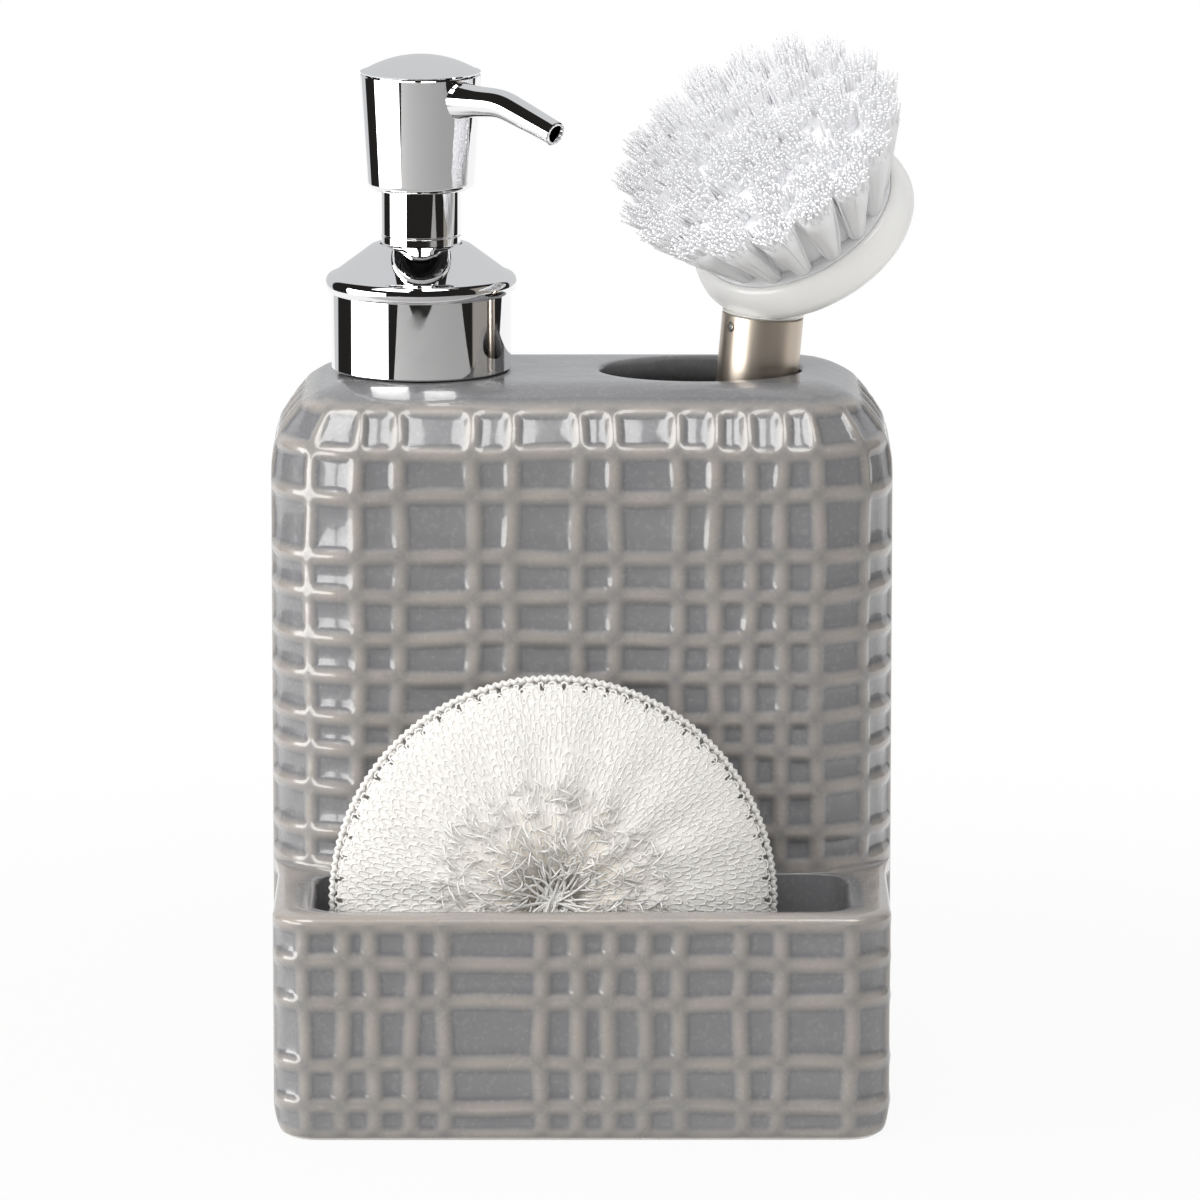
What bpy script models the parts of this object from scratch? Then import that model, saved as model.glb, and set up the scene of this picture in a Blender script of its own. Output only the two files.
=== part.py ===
"""Countertop soap dispenser with a brush well and a scrubber pocket.

A glazed ceramic casting holds a liquid reservoir under a chrome lotion pump, a well with an
oval mouth for a dish brush, and an open pocket in front for a round mesh scrubber.
Units are metres, +Z is up, the front faces -Y and the origin is the centre of the base.
"""

import math
import random

import bmesh
import bpy
from mathutils import Matrix, Vector

# Running and seating clearance between two pieces that touch on the real object
GAP = 0.0003
# How far a cutter runs past the face it opens
OVERRUN = 0.004

# Ceramic casting: the tall block
BODY_WIDTH = 0.139
BODY_DEPTH = 0.075
BODY_HEIGHT = 0.159
BODY_SHOULDER = 0.020
BODY_CORNER = 0.022
BODY_WALL = 0.005
BODY_FLOOR = 0.006
TOP_WALL = 0.006
CAVITY_EDGE = 0.010
DIVIDER_X = 0.0015
DIVIDER_WALL = 0.005
DIVIDER_CORNER = 0.006
FOOT_INSET = 0.003
FOOT_RISE = 0.008
FOOT_KNEE_INSET_SHARE = 0.4
FOOT_KNEE_RISE_SHARE = 0.35

# Ceramic casting: the pocket in front of the block
POCKET_WIDTH = 0.136
POCKET_REACH = 0.0432
POCKET_HEIGHT = 0.051
POCKET_FLOOR = 0.005
POCKET_FRONT_WALL = 0.006
POCKET_SIDE_WALL = 0.0092
POCKET_LEDGE = 0.0005
POCKET_CORNER = 0.010
POCKET_INNER_CORNER = 0.007
POCKET_FLOOR_EDGE = 0.003
RIM_RADIUS = 0.003

# Cast relief: shallow panels between the main ribs. Ribs across a wall are shares of its width,
# depth or reach, and ribs up it are shares of the block's or the pocket's height.
PANEL_DEPTH = 0.0010
RIB_CREST = 0.0024
RIB_SLOPE = 0.0010
FRONT_RIB_SHARES = (-0.291, -0.173, -0.113, -0.006, 0.154, 0.268, 0.319)
BACK_RIB_SHARES = (-0.260, -0.152, -0.087, 0.087, 0.152, 0.260)
SIDE_RIB_SHARES = (-0.141, 0.125)
POCKET_RIB_SHARES = (-0.387, -0.275, -0.223, -0.065, 0.045, 0.158, 0.257, 0.318, 0.434)
POCKET_SIDE_RIB_SHARES = (0.470, 0.910)
BLOCK_COURSE_SHARES = (0.331, 0.440, 0.542, 0.655, 0.770, 0.857)
POCKET_COURSE_SHARES = (0.157, 0.347, 0.616, 0.957)
LOW_COURSE_SHARES = (0.157, 0.616, 0.957)

# Places that the two halves of the footprint share
BODY_REAR = (BODY_DEPTH + POCKET_REACH) / 2
BODY_MIDDLE = BODY_REAR - BODY_DEPTH / 2
BLOCK_FRONT = BODY_REAR - BODY_DEPTH
POCKET_FRONT = BLOCK_FRONT - POCKET_REACH

# Pump axis and the mouth under it
PUMP_INSET = 0.0335
PUMP_X = PUMP_INSET - BODY_WIDTH / 2
MOUTH_RADIUS = 0.0155
MOUTH_CUT_DEPTH = 0.016

# Stopper with the threaded neck
PLUG_WALL = 0.0018
PLUG_DEPTH = 0.014
PLUG_RIB_HEIGHT = 0.0008
PLUG_RIBS = 3
SEAT_THICKNESS = 0.0012
FLANGE_RADIUS = 0.0182
FLANGE_THICKNESS = 0.0015
NECK_RADIUS = 0.0125
NECK_BORE = 0.0105
NECK_HEIGHT = 0.0105

# Thread between neck and closure
THREAD_PITCH = 0.00423
THREAD_TURNS = 1.2
THREAD_DEPTH = 0.0013
THREAD_BASE = 0.0020
THREAD_CREST = 0.0010
THREAD_CLEARANCE = 0.0005
THREAD_START = 0.0022
THREAD_SINK = 0.0004
THREAD_STEPS = 20
THREAD_FADE_STEPS = 3
THREAD_END_SHARE = 0.15

# Closure, gasket and housing
CLOSURE_WALL = 0.0019
CLOSURE_TOP = 0.0014
CLOSURE_HOLE = 0.0078
CLOSURE_RIBS = 12
CLOSURE_RIB_WIDTH = 0.0012
CLOSURE_GASKET = 0.0010
HOUSING_FLANGE = 0.0012
HOUSING_BORE = 0.0060
HOUSING_WALL = 0.0013
HOUSING_LENGTH = 0.039
HOUSING_SPIGOT = 0.012
BALL_CHAMBER = 0.0029
BALL_SEAT_BORE = 0.0013
BALL_SEAT_RISE = 0.0016
INLET_BALL_RADIUS = 0.0022
VALVE_FLOOR = 0.0015
CHAPLET_PLUG = 0.007
CHAPLET_RIM = 0.0020
DIP_TUBE_RADIUS = 0.0025
DIP_TUBE_WALL = 0.0008
DIP_TUBE_STANDOFF = 0.006

# Piston, stem, spring and outlet valve
PRESS_STROKE = 0.012
PISTON_LENGTH = 0.006
PISTON_WAIST = 0.0004
STEM_RADIUS = 0.0040
STEM_BORE = 0.0016
STEM_FOOT_RADIUS = 0.0052
STEM_FOOT = 0.0012
OUTLET_CHAMBER = 0.0025
OUTLET_DEPTH = 0.006
OUTLET_SEAT_RISE = 0.0010
OUTLET_BALL_RADIUS = 0.0021
SPRING_WIRE = 0.0004
SPRING_RADIUS = 0.0044
SPRING_CURLS = 8
SPRING_POINTS = 9

# Chrome collar and sleeve
SHROUD_RADIUS = 0.0202
SHROUD_WALL = 0.0008
BEAD_BULGE = 0.00125
BEAD_HALF_HEIGHT = 0.0020
BEAD_DROP = 0.0007
CONE_RISE = 0.0071
SHROUD_TOP_RADIUS = 0.0112
SHROUD_LIP_RISE = 0.0006
SLEEVE_RADIUS = 0.0089
SLEEVE_WALL = 0.0008
SLEEVE_OVERLAP = 0.004
SLEEVE_FLANGE = 0.0010
SLEEVE_GROOVE = 0.0004
SLEEVE_GROOVE_RISE = 0.0016
SLEEVE_GROOVE_DEPTH = 0.00025

# Pump head and spout
HEAD_BOTTOM_RADIUS = 0.01205
HEAD_TOP_RADIUS = 0.0135
HEAD_HEIGHT = 0.0257
HEAD_WALL = 0.0013
HEAD_EDGE = 0.0015
CAP_DOME = 0.0040
CAP_DOME_STEPS = 6
CAP_PLUG = 0.0018
HUB_RADIUS = 0.0058
HUB_DEPTH = 0.010
STOP_CLEARANCE = 0.0009
SPOUT_TURN = math.radians(-45)
SPOUT_REACH = 0.0426
SPOUT_DROP_FROM_TOP = 0.0047
SPOUT_ROOT_RADIUS = 0.0036
SPOUT_TIP_RADIUS = 0.00275
SPOUT_FLARE = 0.0007
SPOUT_FLARE_SHARE = 0.25
SPOUT_BORE = 0.0018
SPOUT_BEND_START = 0.022
SPOUT_BEND_LENGTH = 0.008
SPOUT_RISE_ANGLE = math.radians(2)
SPOUT_FALL_ANGLE = math.radians(17)
SPOUT_STEPS = 12

# Dish brush: handle
HANDLE_RADIUS = 0.00915
HANDLE_WALL = 0.0006
HANDLE_SHOWING = 0.0123
HANDLE_FOOT_INSET = 0.0435
HANDLE_LEAN = math.radians(5.1)
END_CAP = 0.0025
END_PLUG = 0.010
SPIGOT_LENGTH = 0.018
RIVET_RADIUS = 0.0009
RIVET_DROP = 0.0026
RIVET_DEPTH = 0.006
RIVET_PROUD = 0.0002
RIVET_TURN = math.radians(219)

# Dish brush: round head
HEAD_ANGLE = math.radians(43.2)
HEAD_TURN = math.radians(-132.8)
NECK_RISE = 0.0312
HEAD_SETBACK = 0.0171
PLATE_RADIUS = 0.0262
PLATE_CROWN = 0.0062
PLATE_UNDER = 0.0036
PLATE_UNDER_ROUND = 0.0035
PLATE_BELLY = 0.0006
PLATE_RIM = 0.0029
BACKING_THICKNESS = 0.0010
BOSS_REACH = 0.0030

# Bristles: tufts in rings round a centre tuft
BRISTLE_LENGTH = 0.0233
BRISTLE_JITTER = 0.0011
STRAND_RADIUS = 0.00032
TUFT_RINGS = 3
TUFT_PITCH = 0.00687
TUFT_INNER_RADIUS = 0.00058
TUFT_OUTER_RADIUS = 0.00145
FAN_SHARE = 0.45
TUFT_FAN_SHARE = 1.6
BRISTLE_SEED = 5

# Oval mouth of the brush well
WELL_MOUTH_LENGTH = 0.0452
WELL_MOUTH_DEPTH = 0.0337
WELL_CLEARANCE = 0.0006

# Round mesh scrubber
PAD_RADIUS = 0.0490
PAD_THICKNESS = 0.026
PAD_X = -0.0064
PAD_CENTRE_HEIGHT = 0.0488
PAD_LEAN = math.radians(9)
PAD_RIM_THICKNESS = 0.0042
PAD_DIMPLE = 0.0075
PAD_DIMPLE_RADIUS = 0.0075
PAD_PLEATS = 24
PAD_PLEAT_DEPTH = 0.0007
PAD_SCALLOP = 0.0006
PAD_STEPS_PER_PLEAT = 2
PAD_RING_SHARES = (0.10, 0.22, 0.40, 0.62, 0.80, 0.93, 1)
PAD_SAMPLES = 64
TIE_RADIUS = 0.0034
TIE_CORD_RADIUS = 0.0008

# Facets round the turned pieces
WIDE_SIDES = 36
MEDIUM_SIDES = 24
SMALL_SIDES = 12
CORNER_STEPS = 5
SHARP_ANGLE = math.radians(35)

# Heights that stack up from the ceramic top to the pump head
SEAT_Z = BODY_HEIGHT + GAP
FLANGE_Z = SEAT_Z + SEAT_THICKNESS + GAP
NECK_FOOT_Z = FLANGE_Z + FLANGE_THICKNESS
NECK_TOP_Z = NECK_FOOT_Z + NECK_HEIGHT
CLOSURE_GASKET_Z = NECK_TOP_Z + GAP
HOUSING_FLANGE_Z = CLOSURE_GASKET_Z + CLOSURE_GASKET + GAP
HOUSING_TOP_Z = HOUSING_FLANGE_Z + HOUSING_FLANGE
CLOSURE_UNDER_Z = HOUSING_TOP_Z + GAP
CLOSURE_TOP_Z = CLOSURE_UNDER_Z + CLOSURE_TOP
BEAD_Z = CLOSURE_TOP_Z - BEAD_DROP + BEAD_HALF_HEIGHT
CONE_FOOT_Z = BEAD_Z + BEAD_HALF_HEIGHT
COLLAR_TOP_Z = CONE_FOOT_Z + CONE_RISE
HEAD_Z = COLLAR_TOP_Z + PRESS_STROKE + GAP
SLEEVE_TOP_Z = HEAD_Z + SLEEVE_OVERLAP
INSERT_Z = SLEEVE_TOP_Z + PRESS_STROKE + STOP_CLEARANCE
HUB_Z = INSERT_Z - HUB_DEPTH
HEAD_TOP_Z = HEAD_Z + HEAD_HEIGHT
SPOUT_Z = HEAD_TOP_Z - SPOUT_DROP_FROM_TOP
CAP_PLUG_Z = HEAD_TOP_Z + GAP - CAP_PLUG
INSERT_TOP_Z = CAP_PLUG_Z - GAP
STEM_TOP_Z = INSERT_Z

# Heights inside the pump housing
HOUSING_LEDGE_Z = HOUSING_TOP_Z - HOUSING_LENGTH
BALL_SEAT_Z = HOUSING_LEDGE_Z - BALL_SEAT_RISE - INLET_BALL_RADIUS
SOCKET_TOP_Z = BALL_SEAT_Z - VALVE_FLOOR
HOUSING_BOTTOM_Z = SOCKET_TOP_Z - HOUSING_SPIGOT
CHAPLET_BOTTOM_Z = HOUSING_TOP_Z - CHAPLET_PLUG
PISTON_Z = CHAPLET_BOTTOM_Z - GAP - PISTON_LENGTH
STEM_FOOT_Z = PISTON_Z - GAP - STEM_FOOT
OUTLET_SEAT_Z = STEM_TOP_Z - OUTLET_DEPTH

# Radii that follow from their neighbours
PLUG_RADIUS = MOUTH_RADIUS - GAP - PLUG_RIB_HEIGHT
CLOSURE_ROOT = NECK_RADIUS + THREAD_DEPTH + THREAD_CLEARANCE
CLOSURE_RADIUS = CLOSURE_ROOT + CLOSURE_WALL
HOUSING_RADIUS = HOUSING_BORE + HOUSING_WALL
SOCKET_RADIUS = DIP_TUBE_RADIUS + GAP
SPIGOT_RADIUS = HANDLE_RADIUS - HANDLE_WALL - GAP

# The brush leans in its well: foot on the floor, neck near the right end of the mouth
HANDLE_FOOT_X = BODY_WIDTH / 2 - HANDLE_FOOT_INSET
HANDLE_FOOT_Z = BODY_FLOOR + GAP + HANDLE_RADIUS * math.sin(HANDLE_LEAN)
HANDLE_LENGTH = (BODY_HEIGHT - HANDLE_FOOT_Z) / math.cos(HANDLE_LEAN) + HANDLE_SHOWING
HANDLE_LIP_X = HANDLE_FOOT_X + (BODY_HEIGHT - HANDLE_FOOT_Z) * math.tan(HANDLE_LEAN)
WELL_MOUTH_RIGHT = HANDLE_LIP_X + HANDLE_RADIUS / math.cos(HANDLE_LEAN) + WELL_CLEARANCE
WELL_MOUTH_X = WELL_MOUTH_RIGHT - WELL_MOUTH_LENGTH / 2


def clear_scene():
    """Empty the scene before the model is built."""
    for old in list(bpy.data.objects):
        bpy.data.objects.remove(old, do_unlink=True)


def make_material(name, colour, roughness, metallic=0.0):
    """A Principled material; the colour is linear RGB."""
    material = bpy.data.materials.new(name)
    material.use_nodes = True
    shader = material.node_tree.nodes["Principled BSDF"]
    shader.inputs["Base Color"].default_value = (*colour, 1.0)
    shader.inputs["Roughness"].default_value = roughness
    shader.inputs["Metallic"].default_value = metallic
    material.diffuse_color = (*colour, 1.0)
    return material


def add_empty(name, matrix, parent=None):
    """An empty that carries the pieces of one moving group."""
    empty = bpy.data.objects.new(name, None)
    bpy.context.scene.collection.objects.link(empty)
    empty.parent = parent
    empty.matrix_local = matrix
    return empty


def add_piece(name, bm, material, parent=None, smooth=True):
    """Turn a bmesh into a named object of its own."""
    bmesh.ops.recalc_face_normals(bm, faces=bm.faces)
    mesh = bpy.data.meshes.new(name)
    bm.to_mesh(mesh)
    bm.free()
    if smooth:
        mesh.shade_smooth()
        mesh.set_sharp_from_angle(angle=SHARP_ANGLE)
    if material is not None:
        mesh.materials.append(material)
    piece = bpy.data.objects.new(name, mesh)
    bpy.context.scene.collection.objects.link(piece)
    piece.parent = parent
    return piece


def combine(target, tool, operation):
    """Join a tool to a piece, or cut it away, with an exact Boolean."""
    tool.hide_render = True
    tool.display_type = 'WIRE'
    modifier = target.modifiers.new(tool.name, 'BOOLEAN')
    modifier.operation = operation
    modifier.solver = 'EXACT'
    modifier.object = tool


def bridge(bm, lower, upper):
    """Faces between two rings; a ring of one vertex is a point on the axis."""
    count = max(len(lower), len(upper))
    if count == 1:
        return
    for i in range(count):
        j = (i + 1) % count
        if len(lower) == 1:
            bm.faces.new((lower[0], upper[j], upper[i]))
        elif len(upper) == 1:
            bm.faces.new((lower[i], lower[j], upper[0]))
        else:
            bm.faces.new((lower[i], lower[j], upper[j], upper[i]))


def turned(profile, sides):
    """Turn a closed outline of (radius, height) points about Z."""
    bm = bmesh.new()
    rings = []
    for radius, height in profile:
        if radius == 0:
            rings.append([bm.verts.new((0, 0, height))])
            continue
        ring = []
        for i in range(sides):
            angle = 2 * math.pi * i / sides
            ring.append(bm.verts.new((radius * math.cos(angle), radius * math.sin(angle), height)))
        rings.append(ring)
    for lower, upper in zip(rings, rings[1:] + rings[:1]):
        bridge(bm, lower, upper)
    return bm


def lofted(outlines):
    """Skin a stack of outlines with the same number of points and cap both ends."""
    bm = bmesh.new()
    rings = [[bm.verts.new(point) for point in outline] for outline in outlines]
    for lower, upper in zip(rings, rings[1:]):
        bridge(bm, lower, upper)
    bm.faces.new(reversed(rings[0]))
    bm.faces.new(rings[-1])
    return bm


def arc(centre, radii, start, end, steps):
    """Points on an elliptic arc in the (radius, height) plane, angles in degrees."""
    points = []
    for i in range(steps + 1):
        angle = math.radians(start + (end - start) * i / steps)
        points.append((centre[0] + radii[0] * math.cos(angle), centre[1] + radii[1] * math.sin(angle)))
    return points


def rounded_outline(low, high, corners, inset, height):
    """A rectangle with four corner radii, drawn in by an inset, at one height.

    The corners are right rear, left rear, left front and right front.
    """
    signs = ((1, 1), (-1, 1), (-1, -1), (1, -1))
    outline = []
    for number, (sign, radius) in enumerate(zip(signs, corners)):
        edge_x = high[0] if sign[0] > 0 else low[0]
        edge_y = high[1] if sign[1] > 0 else low[1]
        centre_x = edge_x - sign[0] * radius
        centre_y = edge_y - sign[1] * radius
        reach = radius - inset
        for i in range(CORNER_STEPS + 1):
            angle = math.pi / 2 * (number + i / CORNER_STEPS)
            x = centre_x + reach * math.cos(angle)
            y = centre_y + reach * math.sin(angle)
            outline.append((x, y, height))
    return outline


def rounded_tub(low, high, corners, levels):
    """A solid of rounded outlines; levels are (inset, height) pairs from the bottom up."""
    return lofted([rounded_outline(low, high, corners, inset, height) for inset, height in levels])


def edge_levels(radius, height, start, end, steps):
    """Levels of a rounded edge; 0 degrees is the upright wall, 90 the flat end."""
    levels = []
    for i in range(steps + 1):
        angle = math.radians(start + (end - start) * i / steps)
        levels.append((radius * (1 - math.cos(angle)), height + radius * math.sin(angle)))
    return levels


def foot_levels(below):
    """The drawn-in foot of the casting, started below the table plane."""
    slope = FOOT_INSET / FOOT_RISE
    return [
        (FOOT_INSET + slope * below, -below),
        (FOOT_INSET * FOOT_KNEE_INSET_SHARE, FOOT_RISE * FOOT_KNEE_RISE_SHARE),
        (0, FOOT_RISE),
    ]


def box(low, high):
    """A plain box between two corners."""
    corners = ((low[0], low[1]), (high[0], low[1]), (high[0], high[1]), (low[0], high[1]))
    return lofted([[(x, y, z) for x, y in corners] for z in (low[2], high[2])])


def swept(points, radii, sides):
    """A tube of changing radius along a path that stays in one upright plane."""
    side = (points[-1] - points[0]).cross(Vector((0, 0, 1))).normalized()
    outlines = []
    for i, (point, radius) in enumerate(zip(points, radii)):
        ahead = points[min(i + 1, len(points) - 1)] - points[max(i - 1, 0)]
        up = side.cross(ahead.normalized())
        outline = []
        for k in range(sides):
            angle = 2 * math.pi * k / sides
            outline.append(point + (side * math.cos(angle) + up * math.sin(angle)) * radius)
        outlines.append(outline)
    return lofted(outlines)


def ball(radius, height):
    """A small sphere centred on the axis."""
    bm = bmesh.new()
    bmesh.ops.create_icosphere(bm, subdivisions=2, radius=radius)
    bmesh.ops.translate(bm, verts=bm.verts, vec=(0, 0, height))
    return bm


def ball_rest(ball_radius, seat_bore, chamber, seat_rise):
    """Height of a ball's centre above the narrow end of its cone seat."""
    run = chamber - seat_bore
    slant = math.hypot(run, seat_rise)
    return ((ball_radius + GAP) * slant - seat_bore * seat_rise) / run


def make_cavity(name, low_x, high_x, corners):
    """One inner space of the tall block."""
    low = (low_x, BLOCK_FRONT + BODY_WALL)
    high = (high_x, BODY_REAR - BODY_WALL)
    floor = edge_levels(CAVITY_EDGE, BODY_FLOOR + CAVITY_EDGE, -90, 0, 3)
    roof = edge_levels(CAVITY_EDGE, BODY_HEIGHT - TOP_WALL - CAVITY_EDGE, 0, 90, 3)
    return add_piece(name, rounded_tub(low, high, corners, floor + roof), None)


def wall_place(turn, reach):
    """The plane of an upright wall round the block's middle: X across it, Y up and Z out of it."""
    middle = Matrix.Translation((0, BODY_MIDDLE, 0))
    outward = Matrix.Rotation(math.radians(turn), 4, 'Z') @ Matrix.Translation((0, -reach, 0))
    return middle @ outward @ Matrix.Rotation(math.radians(90), 4, 'X')


def add_panels(bm, place, ribs, courses):
    """Cutters for the tapered panels between the ribs and courses of one wall."""
    levels = ((-PANEL_DEPTH, RIB_CREST / 2 + RIB_SLOPE), (PANEL_DEPTH / 2, RIB_CREST / 2 - RIB_SLOPE / 2))
    for left, right in zip(ribs, ribs[1:]):
        for low, high in zip(courses, courses[1:]):
            rings = []
            for out, inset in levels:
                corners = (
                    (left + inset, low + inset), (right - inset, low + inset),
                    (right - inset, high - inset), (left + inset, high - inset))
                rings.append([bm.verts.new(place @ Vector((x, y, out))) for x, y in corners])
            bridge(bm, rings[0], rings[1])
            bm.faces.new(reversed(rings[0]))
            bm.faces.new(rings[1])


def relief_cutter():
    """All panels of the cast relief, on the flat stretches of the walls."""
    block_courses = [share * BODY_HEIGHT for share in BLOCK_COURSE_SHARES]
    pocket_courses = [share * POCKET_HEIGHT for share in POCKET_COURSE_SHARES]
    low_courses = [share * POCKET_HEIGHT for share in LOW_COURSE_SHARES]
    half_depth = BODY_DEPTH / 2
    half_width = BODY_WIDTH / 2
    bm = bmesh.new()
    front = [share * BODY_WIDTH for share in FRONT_RIB_SHARES]
    add_panels(bm, wall_place(0, half_depth), front, block_courses)
    pocket = [share * POCKET_WIDTH for share in POCKET_RIB_SHARES]
    add_panels(bm, wall_place(0, half_depth + POCKET_REACH), pocket, pocket_courses)
    back = [share * BODY_WIDTH for share in BACK_RIB_SHARES]
    side = [share * BODY_DEPTH for share in SIDE_RIB_SHARES]
    for courses in (low_courses, block_courses):
        add_panels(bm, wall_place(180, half_depth), back, courses)
        add_panels(bm, wall_place(90, half_width), side, courses)
        add_panels(bm, wall_place(-90, half_width), [-rib for rib in reversed(side)], courses)
    pocket_side = [POCKET_FRONT - BODY_MIDDLE + share * POCKET_REACH for share in POCKET_SIDE_RIB_SHARES]
    mirrored = [-rib for rib in reversed(pocket_side)]
    add_panels(bm, wall_place(90, POCKET_WIDTH / 2), pocket_side, pocket_courses)
    add_panels(bm, wall_place(-90, POCKET_WIDTH / 2), mirrored, pocket_courses)
    return add_piece("relief_cut", bm, None)


def make_ceramic_body(material):
    """The casting: block and pocket in one, hollowed, with a mouth, an oval and a pocket."""
    half_width = BODY_WIDTH / 2
    shoulder = edge_levels(BODY_SHOULDER, BODY_HEIGHT - BODY_SHOULDER, 0, 90, 5)
    block = rounded_tub(
        (-half_width, BLOCK_FRONT), (half_width, BODY_REAR), [BODY_CORNER] * 4,
        foot_levels(OVERRUN / 2) + shoulder)
    body = add_piece("ceramic_body", block, material)

    half_pocket = POCKET_WIDTH / 2
    rim = edge_levels(RIM_RADIUS, POCKET_HEIGHT - RIM_RADIUS, 0, 90, 3)
    pocket_corners = [POCKET_CORNER / 2, POCKET_CORNER / 2, POCKET_CORNER, POCKET_CORNER]
    pocket = rounded_tub(
        (-half_pocket, POCKET_FRONT), (half_pocket, BODY_MIDDLE), pocket_corners,
        foot_levels(OVERRUN / 4) + rim)
    combine(body, add_piece("pocket_block", pocket, None), 'UNION')

    table = box((-BODY_WIDTH, -BODY_WIDTH, -BODY_FLOOR), (BODY_WIDTH, BODY_WIDTH, 0))
    combine(body, add_piece("table_cut", table, None), 'DIFFERENCE')

    inner_corner = BODY_CORNER - BODY_WALL
    divider_corner = DIVIDER_CORNER + CAVITY_EDGE
    reservoir_corners = [divider_corner, inner_corner, inner_corner, divider_corner]
    reservoir = make_cavity(
        "reservoir_cut", BODY_WALL - half_width, DIVIDER_X - DIVIDER_WALL / 2, reservoir_corners)
    combine(body, reservoir, 'DIFFERENCE')
    well_corners = [inner_corner, divider_corner, divider_corner, inner_corner]
    well = make_cavity(
        "well_cut", DIVIDER_X + DIVIDER_WALL / 2, half_width - BODY_WALL, well_corners)
    combine(body, well, 'DIFFERENCE')

    mouth = turned(
        [(0, BODY_HEIGHT - MOUTH_CUT_DEPTH), (MOUTH_RADIUS, BODY_HEIGHT - MOUTH_CUT_DEPTH),
         (MOUTH_RADIUS, BODY_HEIGHT + OVERRUN), (0, BODY_HEIGHT + OVERRUN)], WIDE_SIDES)
    mouth_cut = add_piece("mouth_cut", mouth, None)
    mouth_cut.location = (PUMP_X, BODY_MIDDLE, 0)
    combine(body, mouth_cut, 'DIFFERENCE')

    oval = []
    for height in (BODY_HEIGHT - MOUTH_CUT_DEPTH, BODY_HEIGHT + OVERRUN):
        outline = []
        for i in range(WIDE_SIDES):
            angle = 2 * math.pi * i / WIDE_SIDES
            x = WELL_MOUTH_X + WELL_MOUTH_LENGTH / 2 * math.cos(angle)
            y = BODY_MIDDLE + WELL_MOUTH_DEPTH / 2 * math.sin(angle)
            outline.append((x, y, height))
        oval.append(outline)
    combine(body, add_piece("oval_cut", lofted(oval), None), 'DIFFERENCE')

    hollow_half = half_pocket - POCKET_SIDE_WALL
    floor = edge_levels(POCKET_FLOOR_EDGE, POCKET_FLOOR + POCKET_FLOOR_EDGE, -90, 0, 3)
    hollow = rounded_tub(
        (-hollow_half, POCKET_FRONT + POCKET_FRONT_WALL), (hollow_half, BLOCK_FRONT - POCKET_LEDGE),
        [POCKET_INNER_CORNER] * 4, floor + [(0, POCKET_HEIGHT + OVERRUN)])
    combine(body, add_piece("pocket_cut", hollow, None), 'DIFFERENCE')
    combine(body, relief_cutter(), 'DIFFERENCE')


def helical_rib(name, root, crest, sink, start_z, turns, parent):
    """A thread rib on a wall of radius root; its ends run out into the wall."""
    steps = round(THREAD_STEPS * turns)
    inside = root + sink
    outlines = []
    for i in range(steps + 1):
        angle = 2 * math.pi * turns * i / steps
        height = start_z + THREAD_PITCH * turns * i / steps
        fade = min(1, i / THREAD_FADE_STEPS, (steps - i) / THREAD_FADE_STEPS)
        reach = inside + (crest - inside) * max(fade, THREAD_END_SHARE)
        section = (
            (inside, -THREAD_BASE / 2), (reach, -THREAD_CREST / 2),
            (reach, THREAD_CREST / 2), (inside, THREAD_BASE / 2))
        outlines.append([(r * math.cos(angle), r * math.sin(angle), height + z) for r, z in section])
    return add_piece(name, lofted(outlines), None, parent)


def make_stopper(materials, axis):
    """The threaded stopper that plugs the mouth, and the ring that it seats on."""
    bore = PLUG_RADIUS - PLUG_WALL
    plug_bottom = FLANGE_Z - PLUG_DEPTH
    profile = [(bore, plug_bottom), (PLUG_RADIUS, plug_bottom)]
    for i in range(PLUG_RIBS):
        middle = plug_bottom + PLUG_DEPTH * (i + 1) / (PLUG_RIBS + 2)
        profile.append((PLUG_RADIUS, middle - PLUG_RIB_HEIGHT))
        profile.append((PLUG_RADIUS + PLUG_RIB_HEIGHT, middle))
        profile.append((PLUG_RADIUS, middle + PLUG_RIB_HEIGHT))
    profile += [
        (PLUG_RADIUS, FLANGE_Z), (FLANGE_RADIUS, FLANGE_Z), (FLANGE_RADIUS, NECK_FOOT_Z),
        (NECK_RADIUS, NECK_FOOT_Z), (NECK_RADIUS, NECK_TOP_Z), (NECK_BORE, NECK_TOP_Z),
        (NECK_BORE, FLANGE_Z), (bore, FLANGE_Z - (bore - NECK_BORE))]
    adapter = add_piece("neck_adapter", turned(profile, MEDIUM_SIDES), materials["clear_plastic"], axis)
    rib = helical_rib(
        "neck_thread", NECK_RADIUS, NECK_RADIUS + THREAD_DEPTH, -THREAD_SINK,
        NECK_FOOT_Z + THREAD_START, THREAD_TURNS, axis)
    combine(adapter, rib, 'UNION')

    gasket = [
        (PLUG_RADIUS + GAP, SEAT_Z), (FLANGE_RADIUS, SEAT_Z),
        (FLANGE_RADIUS, SEAT_Z + SEAT_THICKNESS), (PLUG_RADIUS + GAP, SEAT_Z + SEAT_THICKNESS)]
    add_piece("seat_gasket", turned(gasket, MEDIUM_SIDES), materials["rubber"], axis)


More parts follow.
